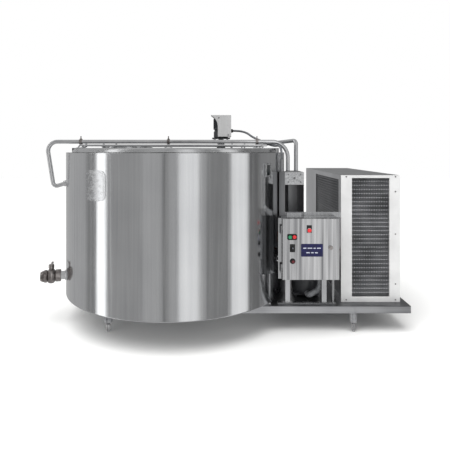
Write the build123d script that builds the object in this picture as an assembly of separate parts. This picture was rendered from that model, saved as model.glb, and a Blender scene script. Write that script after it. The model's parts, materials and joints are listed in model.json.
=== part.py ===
from build123d import *
from math import cos, pi, radians, sin, sqrt, tan
import os

os.makedirs("parts", exist_ok=True)

# Bulk milk tank, 1000 litres, with its refrigeration set on one skid. Millimetres, +Z up.
# It is drawn about the tank's axis (X = Y = 0, floor at Z = 0) with the service side at -Y,
# and moved at the end so that the origin is the bottom centre of the whole object.

# ---------------------------------------------------------------- driving dimensions
# tank
JACKET_D = 1450.0        # outer jacket diameter
JACKET_H = 890.0         # outer jacket height
GROUND_GAP = 180.0       # floor to the underside of the jacket
JACKET_T = 2.0           # jacket sheet
JACKET_BASE_T = 3.0      # jacket bottom sheet
INSULATION = 66.0        # foam between vessel wall and jacket
VESSEL_T = 2.0           # vessel sheet
FLOOR_RISE = 99.0        # jacket bottom to the middle of the vessel's floor
FLOOR_SLOPE = 1.5        # degrees of fall towards the outlet
KNUCKLE_R = 20.0         # inside corner of the vessel's floor
RING_T = 3.0             # top ring sheet
COAMING_H = 15.0         # upstand round the mouth
COAMING_T = 6.0
GASKET_H = 6.0
LID_INSET = 35.0         # jacket edge to lid edge
LID_SIDE_H = 24.0        # height of the lid's rounded side
LID_CROWN = 7.0          # rise of the lid from its edge to the middle
LID_KNEE = 22.0          # width of the lid's rounded shoulder
LID_T = 2.0
SEAT_GAP = 2.0           # lid skirt above the top ring
CLEAR = 0.3              # clearance between pieces that only sit beside each other
R = JACKET_D / 2
RIM_Z = GROUND_GAP + JACKET_H
LID_R = R - LID_INSET
RUN_FIT = 0.06           # radial clearance of a turning shaft or pin
SLIDE_FIT = 0.10         # radial clearance of a plunger

# bridge over the mouth
BRIDGE_W = 470.0
BRIDGE_T = 3.0
BRIDGE_FLANGE = 38.0
BRIDGE_RISE = 29.0       # jacket top to the underside of the bridge plate
INLET_X = 378.0 - R      # milk inlet on the bridge
INLET_R = 150.0
INLET_H = 9.0
INLET_COVER_OVERLAP = 20.0

# lid hinges
ROD_R = 6.5
ROD_L = 2 * LID_R - 200.0
ROD_RISE = 16.0          # bridge top to the rod's axis
ROD_SETBACK = 5.0        # bridge edge to the rod's axis
LUG_XS = (LID_R - 322.0, LID_R - 242.0)
LUG_T = 8.0
ARM_X = LID_R - 130.0
ARM_T = 9.0
EYE_R = 12.0
LID_OPENING = 3.0        # gap between lid and bridge edge

HANDLE_W = 130.0         # grab lip on the lid's side
HANDLE_OUT = 20.0

# agitator
AGI_X = R - 429.0
SHAFT_R = 12.5
MOTOR_R = 52.0
GEARBOX_R = 50.0
PEDESTAL_H = 63.0
FLANGE_T = 8.0
GEARBOX_H = 62.0
MOTOR_H = 75.0
HOOD_T = 1.5
HOOD_W = 144.0           # across Y
HOOD_BACK = 69.0         # shaft axis to the closed end
HOOD_LIP = 69.0          # shaft axis to the tip of the visor
HOOD_WAIST = 21.0        # shaft axis to the open side's edge
HOOD_H = 145.0
HOOD_GAP = 14.0          # flange top to the hood's lower edge
PADDLE_R = 230.0
PADDLE_H = 80.0
PADDLE_T = 6.0
PADDLE_LIFT = 62.0       # vessel floor to the middle of the paddle

# cleaning pipes
PIPE_R = 12.7
PIPE_WALL = 1.5
PIPE_Y = -200.0          # plane of the front pipe
PIPE_RISE = 72.0         # jacket top to the pipe's axis
PIPE_LEFT = -R - 99.0    # corner of the left loop
PIPE_FOOT = -R - 53.0    # lower corner of the left loop
PIPE_FOOT_Z = RIM_Z - 218.0
PIPE_ENTRY_Z = RIM_Z - 198.0
PIPE_DROP_X = R + 2.0     # right hand drop
CLAMP_XS = (87.0 - LID_R, -40.0, LID_R - 161.0)
REAR_PIPE_START = (LID_R - 150.0, 100.0)
REAR_PIPE_DROP = (R + 58.0, -180.0)
REAR_PIPE_TOP = RIM_Z + 81.0

# milk outlet, turned about the tank's axis
OUTLET_ANGLE = 197.0
OUTLET_RISE = 110.0      # jacket bottom to the outlet's axis
OUTLET_R = 25.4
OUTLET_BORE = 23.75
NECK_L = 30.0
UNION_L = 36.0
UNION_R = 38.0
VALVE_L = 44.0
VALVE_R = 46.0
END_NUT_L = 43.0
END_NUT_R = 39.0
STEM_R = 5.0
HUB_R = 17.0
LEVER_L = 105.0

# things on the jacket
BADGE_ANGLE = -122.7
BADGE_W, BADGE_H, BADGE_Z = 160.0, 170.0, RIM_Z - 178.0
THERMO_ANGLE = -38.1
THERMO_W, THERMO_H, THERMO_Z = 54.0, 82.0, RIM_Z - 100.0

# skid
BEAM = 40.0
BEAM_T = 4.0
BEAM_TOP = 156.0
MACHINE_X0 = R - 125.0    # left edge of the deck that carries the machine
SKID_X0, SKID_X1 = 285.0 - R, MACHINE_X0 + 831.0
SKID_Y = R - 315.0       # front and rear beams under the tank
SKID_REAR = 830.0        # rear edge under the machine
MIDDLE_BEAM = 400.0      # left edge of the deck to its middle beam
DECK_T = 3.0
FOOT_X = SKID_X0 + 63.0
FOOT_Y = SKID_Y - 20.0
FEET = ((FOOT_X, -FOOT_Y, 26.0, 15.0), (FOOT_X, FOOT_Y, 26.0, 15.0),
        (MACHINE_X0 + 494.0, -FOOT_Y, 21.0, 12.0), (MACHINE_X0 + 20.0, 600.0, 21.0, 12.0),
        (MACHINE_X0 + 760.0, 810.0, 21.0, 12.0))
SOCKET_L = 62.0

# condenser cabinet
CAB_X0, CAB_X1 = MACHINE_X0 + 433.0, MACHINE_X0 + 794.0
CAB_Y0, CAB_Y1 = -339.0, 819.0
CAB_H = 775.0
CAB_T = 2.0
STILE_L, STILE_R = 67.0, 64.0      # front face, left and right of the coil
RAIL_TOP, RAIL_BOTTOM = 17.0, 30.0
SIDE_Y0, SIDE_Y1 = -280.0, 400.0   # louvred opening of the left side
SIDE_MARGIN = 28.0
SLATS = 42
COIL_D = 44.0
COIL_RECESS = 12.0
ROW_PITCH = 25.4
COIL_TUBE_R = 4.8
FAN_R = 146.0
FAN_GAP = 7.0
FAN_ZS = (370.0, 725.0)
FAN_Y = -225.0
FAN_DEPTH = 34.0
BLADES = 5
FAN_MOTOR_R = 44.0

# control panel
PANEL_X0, PANEL_X1 = MACHINE_X0 + 56.0, MACHINE_X0 + 388.0
PANEL_Z0, PANEL_Z1 = 334.0, 690.0
PANEL_FRONT = -480.0
PANEL_BACK = -346.0
PANEL_T = 1.5
DOOR_T = 2.0
DOOR_RETURN = 16.0
HINGE_ZS = (400.0, 624.0)
KNUCKLE_L = 25.0
PIN_R = 3.0
LAMP = (PANEL_X0 + 156.0, 622.0)
BUTTONS = (PANEL_X0 + 56.5, 584.0)
SELECTOR = (PANEL_X0 + 58.5, 515.0)
KNOB = (PANEL_X0 + 59.5, 443.5)
PLATE = (PANEL_X0 + 171.5, 507.0, 126.0, 74.0)
LOCK = (PANEL_X0 + 280.0, 522.0)
POST = 30.0
POST_Y = -360.0
POST_XS = (PANEL_X0 + 46.0, PANEL_X0 + 266.0)
RAIL_X0, RAIL_X1 = PANEL_X0 - 14.0, PANEL_X1 + 4.0    # base rail of the panel's stand
RAIL_W, RAIL_T = 36.0, 8.0
WIRING_X = PANEL_X1 - 10.0         # wiring pipe beside the stand
WIRING_R = 9.0

# connection box between tank, panel and cabinet
BOX_Z0, BOX_Z1 = 676.0, 953.0
BOX_T = 1.5
BOX_FRONT = -340.0
BOX_PLAN = ((R - 36.0, BOX_FRONT), (R + 81.0, BOX_FRONT), (R + 81.0, -110.0), (R + 17.0, -110.0),
            (R - 68.0, -322.0))
BOX_OPEN_Z0, BOX_OPEN_Z1 = 710.0, 876.0
TIE_X0, TIE_W = R - 25.0, 90.0        # plate between the box and the panel's back
STUB = (R - 51.7, -316.0)
STUB_R = 10.0
STUB_TOP = RIM_Z - 40.0
CABLE_R = 7.0

# refrigeration on the deck
COMP = (MACHINE_X0 + 238.0, -185.0)
COMP_R = 84.0
COMP_H = 280.0
SUCTION_R = 18.0         # over its insulation
SUCTION_Z = 420.0
SUCTION_Y = -318.0
LINE_R = 5.0
LIQUID_Y = -300.0
LIQUID_Z = 470.0
DISCHARGE_Y = 620.0      # where the hot gas line enters the cabinet
RECEIVER_X = MACHINE_X0 + 280.0
RECEIVER_Y0, RECEIVER_Y1 = 180.0, 480.0
RECEIVER_R = 60.0
BOSS_L = 60.0            # length of a welded socket before it is trimmed to the jacket
BOSS_OUT = 21.0          # how far a socket stands out
BOSS_SET = 14.0

# ---------------------------------------------------------------- derived values
BASE_Z = GROUND_GAP
VESSEL_R = R - JACKET_T - INSULATION - VESSEL_T       # inside radius of the vessel
FLOOR_Z = BASE_Z + FLOOR_RISE
RING_Z = RIM_Z + RING_T
LID_Z0 = RING_Z + SEAT_GAP
BRIDGE_Z = RIM_Z + BRIDGE_RISE
BRIDGE_TOP = BRIDGE_Z + BRIDGE_T
HALF_W = BRIDGE_W / 2
ROD_Y = HALF_W - ROD_SETBACK
ROD_Z = BRIDGE_TOP + ROD_RISE
PIPE_Z = RIM_Z + PIPE_RISE
OUTLET_Z = BASE_Z + OUTLET_RISE
DECK_Z = BEAM_TOP + DECK_T
CAB_Z1 = DECK_Z + CAB_H
FLANGE_Z = BRIDGE_TOP + PEDESTAL_H
HOOD_Z = FLANGE_Z + HOOD_GAP
BODY_Z = FLANGE_Z + FLANGE_T
PADDLE_Z = FLOOR_Z + PADDLE_LIFT
CIP_MOUTH = (-R + BOSS_SET, PIPE_Y, PIPE_ENTRY_Z)
CIP_WAY = (PIPE_FOOT - CIP_MOUTH[0], 0, PIPE_FOOT_Z - PIPE_ENTRY_Z)
SUCTION_MOUTH = (sqrt(R ** 2 - SUCTION_Y ** 2) + BOSS_OUT, SUCTION_Y, SUCTION_Z)
LIQUID_MOUTH = (sqrt(R ** 2 - LIQUID_Y ** 2) + BOSS_OUT, LIQUID_Y, LIQUID_Z)


# ---------------------------------------------------------------- small helpers
def block(x0, x1, y0, y1, z0, z1):
    """Box between two corners."""
    centre = ((x0 + x1) / 2, (y0 + y1) / 2, (z0 + z1) / 2)
    return Pos(*centre) * Box(x1 - x0, y1 - y0, z1 - z0)


def rod(start, direction, length, radius):
    """Round bar from start along direction."""
    plane = Plane(origin=start, z_dir=direction)
    return extrude(plane * Circle(radius), length)


def pipe(start, direction, length, radius, bore):
    """Round tube from start along direction."""
    plane = Plane(origin=start, z_dir=direction)
    return extrude(plane * (Circle(radius) - Circle(bore)), length)


def ring(r_in, r_out, z0, z1, x=0.0, y=0.0):
    """Upright ring about (x, y)."""
    return pipe((x, y, z0), (0, 0, 1), z1 - z0, r_out, r_in)


def disc(radius, z0, z1, x=0.0, y=0.0):
    """Upright round bar about (x, y)."""
    return rod((x, y, z0), (0, 0, 1), z1 - z0, radius)


def bent(points, radii, radius):
    """Bar of round section along straight runs joined by tangent arcs."""
    path = FilletPolyline(*points, radius=radii)
    section = Plane(origin=path @ 0, z_dir=path % 0) * Circle(radius)
    return sweep(section, path=path)


def bent_pipe(points, radii, radius, wall):
    """Tube of round section along straight runs joined by tangent arcs."""
    path = FilletPolyline(*points, radius=radii)
    plane = Plane(origin=path @ 0, z_dir=path % 0)
    return sweep(plane * (Circle(radius) - Circle(radius - wall)), path=path)


def turned(profile):
    """Solid of revolution about Z from (radius, height) points."""
    face = Plane.XZ * make_face(Polyline(*profile, close=True))
    return revolve(face, axis=Axis.Z)


def round_all(shape, radius, axis):
    """Fillet every straight edge that runs along the axis."""
    return fillet(shape.edges().filter_by(axis), radius)


def on_jacket(shape, angle):
    """Turn a piece drawn on the +X side of the tank to its place round the jacket."""
    return Rot(0, 0, angle) * shape


# ---------------------------------------------------------------- tank body
def outlet_hole(extra):
    return on_jacket(rod((VESSEL_R - 60, 0, OUTLET_Z), (1, 0, 0), 160, OUTLET_R + extra), OUTLET_ANGLE)


def jacket_boss(mouth, direction, radius):
    """Welded socket on the jacket that ends at its mouth."""
    way = Vector(*direction).normalized()
    start = Vector(*mouth) - way * BOSS_L
    return rod(start, way, BOSS_L, radius) - disc(R - JACKET_T, BASE_Z, RIM_Z)


def outer_jacket():
    shell = disc(R, BASE_Z, RIM_Z) - disc(R - JACKET_T, BASE_Z + JACKET_BASE_T, RIM_Z)
    shell += jacket_boss(CIP_MOUTH, CIP_WAY, PIPE_R + 6)
    shell += jacket_boss(SUCTION_MOUTH, (1, 0, 0), SUCTION_R + 5)
    shell += jacket_boss(LIQUID_MOUTH, (1, 0, 0), LINE_R + 5)
    return shell - outlet_hole(CLEAR)


def above_floor(drop):
    """Space above the vessel's sloping floor, lowered by drop."""
    size = 4 * R
    fall = Rot(0, 0, OUTLET_ANGLE) * Rot(0, FLOOR_SLOPE, 0) * Pos(0, 0, size / 2) * Box(size, size, size)
    return Pos(0, 0, FLOOR_Z - drop) * fall


def vessel_volume(radius, drop, top):
    return disc(radius, BASE_Z, top) & above_floor(drop)


def inner_vessel():
    body = vessel_volume(VESSEL_R + VESSEL_T, VESSEL_T, RIM_Z)
    space = vessel_volume(VESSEL_R, 0, RIM_Z + 1)
    body = fillet(body.edges().group_by(Axis.Z)[0], KNUCKLE_R + VESSEL_T)
    space = fillet(space.edges().group_by(Axis.Z)[0], KNUCKLE_R)
    return body - space - outlet_hole(CLEAR)


EVAP_T = 4.0
EVAP_R = VESSEL_R - KNUCKLE_R - 40.0
STAVES = 24              # foam staves round the wall


def evaporator_plate():
    """Dimpled cooling plate under the vessel's floor, with its two connection stubs."""
    tilt = Pos(0, 0, FLOOR_Z - VESSEL_T - CLEAR) * Rot(0, 0, OUTLET_ANGLE) * Rot(0, FLOOR_SLOPE, 0)
    plate = disc(EVAP_R, -EVAP_T, 0)
    for turn in range(1, 6):
        track = EVAP_R * turn / 6
        plate += ring(track - 18, track + 18, -EVAP_T - 3, -EVAP_T)
    return tilt * plate


def insulation():
    """Foam slab under the floor and a wall of foam staves, each a hairline apart from the next."""
    drop = VESSEL_T + EVAP_T + 5
    foam = disc(R - JACKET_T - CLEAR, BASE_Z + JACKET_BASE_T + CLEAR, RIM_Z - CLEAR)
    wall = foam & above_floor(drop - CLEAR)
    wall -= disc(VESSEL_R + VESSEL_T + CLEAR, BASE_Z, RIM_Z + 1)
    wall -= outlet_hole(2 * CLEAR)
    step = 360 / STAVES
    for turn in range(STAVES // 2):
        wall -= Rot(0, 0, OUTLET_ANGLE + (turn + 0.5) * step) * Box(3 * R, CLEAR, 4 * RIM_Z)
    return [foam - above_floor(drop)] + list(wall.solids())


def top_ring():
    plate = ring(VESSEL_R, R, RIM_Z, RING_Z)
    coaming = ring(VESSEL_R, VESSEL_R + COAMING_T, RING_Z, RING_Z + COAMING_H)
    return plate + coaming


def lid_gasket():
    z0 = RING_Z + COAMING_H
    return ring(VESSEL_R - 1, VESSEL_R + COAMING_T + 1, z0, z0 + GASKET_H)


def rod_lug(x, side):
    """Small foot that holds the lid's hinge rod above the edge of the bridge."""
    y = side * ROD_Y
    foot = make_face(Polyline((y - side * 6, ROD_Z - 4), (y - side * 42, BRIDGE_TOP),
                              (y + side * 1, BRIDGE_TOP), (y + side * 6, ROD_Z - 4), close=True))
    lug = extrude(Plane.YZ.offset(x - LUG_T / 2) * foot, LUG_T)
    lug += rod((x - LUG_T / 2, y, ROD_Z), (1, 0, 0), LUG_T, ROD_R + 4)
    return lug - rod((x - LUG_T, y, ROD_Z), (1, 0, 0), 2 * LUG_T, ROD_R + 0.02)


def bridge():
    band = block(-R, R, -HALF_W, HALF_W, 0, 2 * RIM_Z)
    plate = disc(LID_R, BRIDGE_Z, BRIDGE_TOP)
    skirt = ring(LID_R - LID_T, LID_R, RING_Z, BRIDGE_Z)
    deck = (plate + skirt) & band
    reach = sqrt((VESSEL_R - 2) ** 2 - HALF_W ** 2) - 2
    for side in (-1, 1):
        y0, y1 = sorted((side * HALF_W, side * (HALF_W - BRIDGE_T)))
        deck += block(-reach, reach, y0, y1, BRIDGE_Z - BRIDGE_FLANGE, BRIDGE_Z)
    deck -= disc(SHAFT_R + 4, BRIDGE_Z - 5, BRIDGE_TOP + 5, AGI_X, 0)
    deck -= disc(INLET_R, BRIDGE_Z - 5, BRIDGE_TOP + 5, INLET_X, 0)
    deck += ring(INLET_R, INLET_R + 4, BRIDGE_TOP, BRIDGE_TOP + INLET_H, INLET_X, 0)
    for side in (-1, 1):
        for x in LUG_XS:
            deck += rod_lug(x, side)
            deck += rod_lug(-x, side)
    return deck


def inlet_cover():
    r = INLET_R + INLET_COVER_OVERLAP
    top = BRIDGE_TOP + INLET_H + 4
    cover = disc(r, BRIDGE_TOP + 1, top)
    cover = fillet(cover.edges().group_by(Axis.Z)[-1], 4)
    hollow = disc(r - 2, BRIDGE_TOP, top - 3)
    return Pos(INLET_X, 0, 0) * (cover - hollow)


# ---------------------------------------------------------------- lids, drawn for the -Y side
def lid():
    """Crowned half lid with its straight hinge-side flange, arms and grab lip."""
    edge = LID_R
    knee = edge - LID_KNEE
    top = LID_Z0 + LID_SIDE_H
    crown = top + LID_CROWN
    outside = [(0, crown), (knee, top), (edge - 6, top - 5), (edge, top - 14), (edge, LID_Z0)]
    inside = [(edge - LID_T, LID_Z0), (edge - LID_T, top - 14), (edge - 8, top - 7), (knee, top - LID_T),
              (0, crown - LID_T)]
    shell = turned(outside + inside)
    limit = -HALF_W - LID_OPENING
    shell = shell & block(-R, R, -R, limit, 0, 2 * RIM_Z)
    reach = sqrt((VESSEL_R - 4) ** 2 - limit ** 2)
    lid_top = top + LID_CROWN * (1 - abs(limit) / knee) - LID_T
    shell += block(-reach, reach, limit - LID_T, limit, LID_Z0 + 8, lid_top)
    for x in (-ARM_X, ARM_X):
        shell += lid_arm(x, top)
    return shell + lid_handle()


def lid_arm(x, top):
    """Curved hinge arm: an eye on the rod and a foot along the lid's top."""
    y = -ROD_Y
    foot = make_face(Polyline((y, ROD_Z + 9), (y - 3, ROD_Z - 9), (y - 30, top + 3), (y - 46, top - 1),
                              (y - 92, top - 1), (y - 92, top + 7), (y - 50, top + 11), close=True))
    arm = extrude(Plane.YZ.offset(x - ARM_T / 2) * foot, ARM_T)
    arm += rod((x - ARM_T / 2, y, ROD_Z), (1, 0, 0), ARM_T, EYE_R)
    return arm - rod((x - ARM_T, y, ROD_Z), (1, 0, 0), 2 * ARM_T, ROD_R + RUN_FIT)


def lid_handle():
    """Grab lip on the lid's rounded side."""
    w, out, t = HANDLE_W, HANDLE_OUT, 3.0
    z = LID_Z0 + 4
    lip = block(-w / 2, w / 2, -LID_R - out, -LID_R + 8, z, z + t)
    lip += block(-w / 2, w / 2, -LID_R - out, -LID_R - out + t, z - 3, z + t)
    return lip - disc(LID_R - LID_T / 2, z - 20, z + 20)


def mirrored(shape):
    return mirror(shape, about=Plane.XZ)


def hinge_rod():
    return rod((-ROD_L / 2, -ROD_Y, ROD_Z), (1, 0, 0), ROD_L, ROD_R)


# ---------------------------------------------------------------- agitator
def agitator_pedestal():
    post = turned([(SHAFT_R + 2, BRIDGE_TOP), (30, BRIDGE_TOP), (30, BRIDGE_TOP + 6),
                   (18, FLANGE_Z - 12), (18, FLANGE_Z), (SHAFT_R + 2, FLANGE_Z)])
    flange = block(-60, 62, -56, 56, FLANGE_Z, BODY_Z) - disc(SHAFT_R + 2, 0, 2 * RIM_Z)
    flange = round_all(flange, 12, Axis.Z)
    return Pos(AGI_X, 0, 0) * (post + flange)


def gearmotor():
    z1 = BODY_Z + GEARBOX_H
    case = disc(GEARBOX_R, BODY_Z, z1)
    case += disc(MOTOR_R, z1, z1 + MOTOR_H)
    case = fillet(case.edges().group_by(Axis.Z)[-1], 8)
    for turn in range(12):
        angle = radians(30 * turn)
        groove = rod((MOTOR_R * cos(angle), MOTOR_R * sin(angle), z1 + 8), (0, 0, 1), MOTOR_H - 16, 4)
        case -= groove
    case -= disc(SHAFT_R + RUN_FIT, BODY_Z - 1, BODY_Z + GEARBOX_H - 12)
    return Pos(AGI_X, 0, 0) * case


def hood_outline(inset):
    """Side view of the hood: visor, concave open edge, lower edge, closed end."""
    top = HOOD_Z + HOOD_H - inset
    tip = (-HOOD_LIP, top)
    waist = (-HOOD_WAIST, HOOD_Z + HOOD_H * 0.5)
    middle = (-HOOD_WAIST - 13, HOOD_Z + HOOD_H * 0.78)
    curve = ThreePointArc(tip, middle, waist)
    rest = Polyline(waist, (-HOOD_WAIST, HOOD_Z), (HOOD_BACK - inset, HOOD_Z), (HOOD_BACK - inset, top), tip)
    return make_face(curve + rest)


def motor_hood():
    half = HOOD_W / 2
    hood = extrude(Plane.XZ.offset(-half) * hood_outline(0), HOOD_W)
    inner = block(-2 * HOOD_LIP, HOOD_BACK - HOOD_T, -half + HOOD_T, half - HOOD_T,
                  HOOD_Z - 5, HOOD_Z + HOOD_H - HOOD_T)
    hood -= inner
    gland_z = HOOD_Z + 42
    hood -= rod((HOOD_BACK - 5, 0, gland_z), (1, 0, 0), 10, 9)
    return Pos(AGI_X, 0, 0) * hood


def cable_gland():
    x = AGI_X + HOOD_BACK
    z = HOOD_Z + 42
    body = rod((x - 8, 0, z), (1, 0, 0), 8, 9 - CLEAR)
    body += extrude(Plane(origin=(x, 0, z), z_dir=(1, 0, 0)) * RegularPolygon(13, 6), 8)
    body += rod((x + 8, 0, z), (1, 0, 0), 6, 11)
    return body


def agitator_shaft():
    low = PADDLE_Z - 18
    return disc(SHAFT_R, low, BODY_Z + GEARBOX_H - 14, AGI_X, 0)


def agitator_paddle():
    hub = disc(22, PADDLE_Z - 22, PADDLE_Z + 30)
    for side in (0, 180):
        blade = block(18, PADDLE_R, -PADDLE_T / 2, PADDLE_T / 2, -PADDLE_H / 2, PADDLE_H / 2)
        hub += Pos(0, 0, PADDLE_Z) * (Rot(0, 0, side) * (Rot(40, 0, 0) * blade))
    hub -= disc(SHAFT_R, PADDLE_Z - 18, PADDLE_Z + 40)
    return Pos(AGI_X, 0, 0) * hub


# ---------------------------------------------------------------- cleaning pipes
def cip_tube():
    points = [CIP_MOUTH, (PIPE_FOOT, PIPE_Y, PIPE_FOOT_Z),
              (PIPE_LEFT, PIPE_Y, PIPE_Z), (PIPE_DROP_X, PIPE_Y, PIPE_Z), (PIPE_DROP_X, PIPE_Y, BOX_Z1 - 45)]
    return bent_pipe(points, [24, 60, 100], PIPE_R, PIPE_WALL)


def rear_tube():
    x0, y0 = REAR_PIPE_START
    x1, y1 = REAR_PIPE_DROP
    points = [(x0, y0, BRIDGE_TOP), (x0, y0, BRIDGE_TOP + 22), (x1, y1, REAR_PIPE_TOP), (x1, y1, BOX_Z1 - 45)]
    return bent_pipe(points, [20, 22], PIPE_R, PIPE_WALL)


def tube_clamp(x):
    """Two-part ring clamp with its closing screw."""
    w = 18.0
    body = pipe((x - w / 2, PIPE_Y, PIPE_Z), (1, 0, 0), w, PIPE_R + 4, PIPE_R + SLIDE_FIT)
    top = PIPE_Z + PIPE_R + 3
    body += disc(6, top, top + 6, x, PIPE_Y)
    body += disc(3.5, top + 6, top + 20, x, PIPE_Y)
    return body


def tube_bracket(x):
    """Forked stand between the bridge and a clamp."""
    foot = block(x - 26, x + 26, PIPE_Y - 14, PIPE_Y + 14, BRIDGE_TOP, BRIDGE_TOP + 3)
    seat = PIPE_Z - PIPE_R - 4
    yoke = make_face(Polyline((x - 22, BRIDGE_TOP + 3), (x - 14, BRIDGE_TOP + 3), (x, seat - 9),
                              (x + 14, BRIDGE_TOP + 3), (x + 22, BRIDGE_TOP + 3), (x + 8, seat - 0.5),
                              (x - 8, seat - 0.5), close=True))
    return foot + extrude(Plane.XZ.offset(-PIPE_Y - 3) * yoke, 6)


def spray_ball():
    x = CLAMP_XS[1]
    ball_r = 32.0
    z = BRIDGE_Z - 130
    head = Pos(x, PIPE_Y, z) * Sphere(ball_r)
    head += disc(10, z, BRIDGE_Z, x, PIPE_Y)
    for turn in range(8):
        angle = radians(45 * turn)
        head -= rod((x, PIPE_Y, z), (cos(angle), sin(angle), 0.5), 2 * ball_r, 2.0)
    return head


# ---------------------------------------------------------------- milk outlet, drawn along +X
S1 = R + NECK_L
S2 = S1 + UNION_L
S3 = S2 + VALVE_L
S4 = S3 + END_NUT_L
VALVE_S = S2 + VALVE_L / 2


def spun(profile):
    """Solid of revolution about the outlet's axis from (distance, radius) points."""
    face = Plane.XY * make_face(Polyline(*profile, close=True))
    return Pos(0, 0, OUTLET_Z) * revolve(face, axis=Axis.X)


def outlet_pipe():
    start = sqrt(VESSEL_R ** 2 - OUTLET_R ** 2) + 3
    collar = 4.0
    body = spun([(start, OUTLET_BORE), (start, OUTLET_R), (R + 1, OUTLET_R), (R + 1, OUTLET_R + 8),
                 (R + 1 + collar, OUTLET_R + 8), (R + 1 + collar, OUTLET_R), (S1 + 4, OUTLET_R),
                 (S1 + 4, OUTLET_BORE)])
    return on_jacket(body, OUTLET_ANGLE)


def union_nut():
    """Round slotted nut between the pipe and the valve."""
    inner = OUTLET_R + CLEAR
    nut = spun([(S1, inner), (S1, UNION_R - 6), (S1 + 6, UNION_R), (S2 - 8, UNION_R),
                (S2 - 2, UNION_R - 4), (S2 - 2, inner)])
    for turn in range(4):
        notch = Rot(90 * turn, 0, 0) * block(S1 + 4, S2, -4, 4, UNION_R - 3, UNION_R + 3)
        nut -= Pos(0, 0, OUTLET_Z) * notch
    return on_jacket(nut, OUTLET_ANGLE)


def valve_body():
    spigot = OUTLET_R - CLEAR
    thread = OUTLET_R + 6
    core = spun([(S1 + 5, OUTLET_BORE), (S1 + 5, spigot), (S2 - 1, spigot), (S2 - 1, VALVE_R - 12),
                 (S2 + 6, VALVE_R - 3), (VALVE_S - 6, VALVE_R), (VALVE_S + 6, VALVE_R), (S3 - 6, VALVE_R - 3),
                 (S3 + 1, VALVE_R - 12), (S3 + 1, thread), (S3 + 14, thread), (S3 + 14, OUTLET_BORE)])
    core += disc(HUB_R - 2, OUTLET_Z + VALVE_R - 8, OUTLET_Z + VALVE_R + 4, VALVE_S, 0)
    core -= disc(STEM_R + RUN_FIT, OUTLET_Z - VALVE_R + 12, OUTLET_Z + VALVE_R + 10, VALVE_S, 0)
    core -= rod((S1, 0, OUTLET_Z), (1, 0, 0), S4 - S1, OUTLET_BORE)
    return on_jacket(core, OUTLET_ANGLE)


def valve_disc():
    leaf = rod((VALVE_S - 2, 0, OUTLET_Z), (1, 0, 0), 4, OUTLET_BORE - 0.15)
    leaf += disc(STEM_R, OUTLET_Z - VALVE_R + 13, OUTLET_Z + VALVE_R + 22, VALVE_S, 0)
    return on_jacket(leaf, OUTLET_ANGLE)


def valve_handle():
    z0 = OUTLET_Z + VALVE_R + 4.5
    hub = disc(HUB_R, z0, z0 + 24, VALVE_S, 0)
    hub = fillet(hub.edges().group_by(Axis.Z)[-1], 6)
    lever = block(VALVE_S - 7, VALVE_S + 7, -LEVER_L, -HUB_R + 4, z0 + 8, z0 + 16)
    lever = fillet(lever.edges().group_by(Axis.Y)[0].filter_by(Axis.Z), 6)
    hub += lever
    hub -= disc(STEM_R, z0 - 1, OUTLET_Z + VALVE_R + 22, VALVE_S, 0)
    return on_jacket(hub, OUTLET_ANGLE)


def outlet_nut():
    """Rounded end nut for the delivery hose."""
    seat = OUTLET_R + 6 + SLIDE_FIT
    s0 = S3 + 1.5
    nut = spun([(s0, seat), (s0, END_NUT_R - 5), (s0 + 6, END_NUT_R), (s0 + 18, END_NUT_R),
                (S4 - 12, END_NUT_R - 5), (S4 - 4, END_NUT_R - 11), (S4, OUTLET_R + 2),
                (S4, OUTLET_BORE), (S3 + 14.5, OUTLET_BORE), (S3 + 14.5, seat)])
    return on_jacket(nut, OUTLET_ANGLE)


# ---------------------------------------------------------------- things on the jacket
def badge_plate():
    outline = RectangleRounded(BADGE_W, BADGE_H, 40)
    plug = extrude(Plane(origin=(R - 40, 0, BADGE_Z), x_dir=(0, 1, 0), z_dir=(1, 0, 0)) * outline, 80)
    skin = ring(R + CLEAR, R + 2.0, BADGE_Z - BADGE_H, BADGE_Z + BADGE_H)
    return on_jacket(skin & plug, BADGE_ANGLE)


def thermometer():
    back = R + CLEAR
    half, low, high = THERMO_W / 2, THERMO_Z - THERMO_H / 2, THERMO_Z + THERMO_H / 2
    case = block(back, back + 12, -half, half, low, high)
    case = round_all(case, 6, Axis.X)
    window = block(back + 10, back + 13, -half + 9, half - 9, low + 12, high - 10)
    return on_jacket(case - window, THERMO_ANGLE)


# ---------------------------------------------------------------- skid
def channel(x0, x1, y0, y1):
    return block(x0, x1, y0, y1, BEAM_TOP - BEAM, BEAM_TOP)


def channel_space(x0, x1, y0, y1):
    t = BEAM_T
    return block(x0 + t, x1 - t, y0 + t, y1 - t, BEAM_TOP - BEAM - 1, BEAM_TOP - t)


def beam_plan():
    """Plan rectangles of the skid's channels."""
    front = (SKID_X0, SKID_X1, -SKID_Y, -SKID_Y + BEAM)
    rear = (SKID_X0, MACHINE_X0 + BEAM, SKID_Y - BEAM, SKID_Y)
    far = (MACHINE_X0, SKID_X1, SKID_REAR - BEAM, SKID_REAR)
    cross = [(x, x + BEAM, -SKID_Y, SKID_Y) for x in (SKID_X0, -BEAM / 2)]
    deep = [(x, x + BEAM, -SKID_Y, SKID_REAR) for x in (MACHINE_X0, MACHINE_X0 + MIDDLE_BEAM, SKID_X1 - BEAM)]
    return [front, rear, far] + cross + deep


def foot_socket(x, y, radius, foot_r):
    z1 = BEAM_TOP - BEAM
    socket = disc(radius, z1 - SOCKET_L, z1 + BEAM - BEAM_T, x, y)
    socket = chamfer(socket.edges().group_by(Axis.Z)[0], 6)
    return socket - disc(foot_r * 0.75 + SLIDE_FIT, z1 - SOCKET_L - 1, z1 + 10, x, y)


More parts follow.
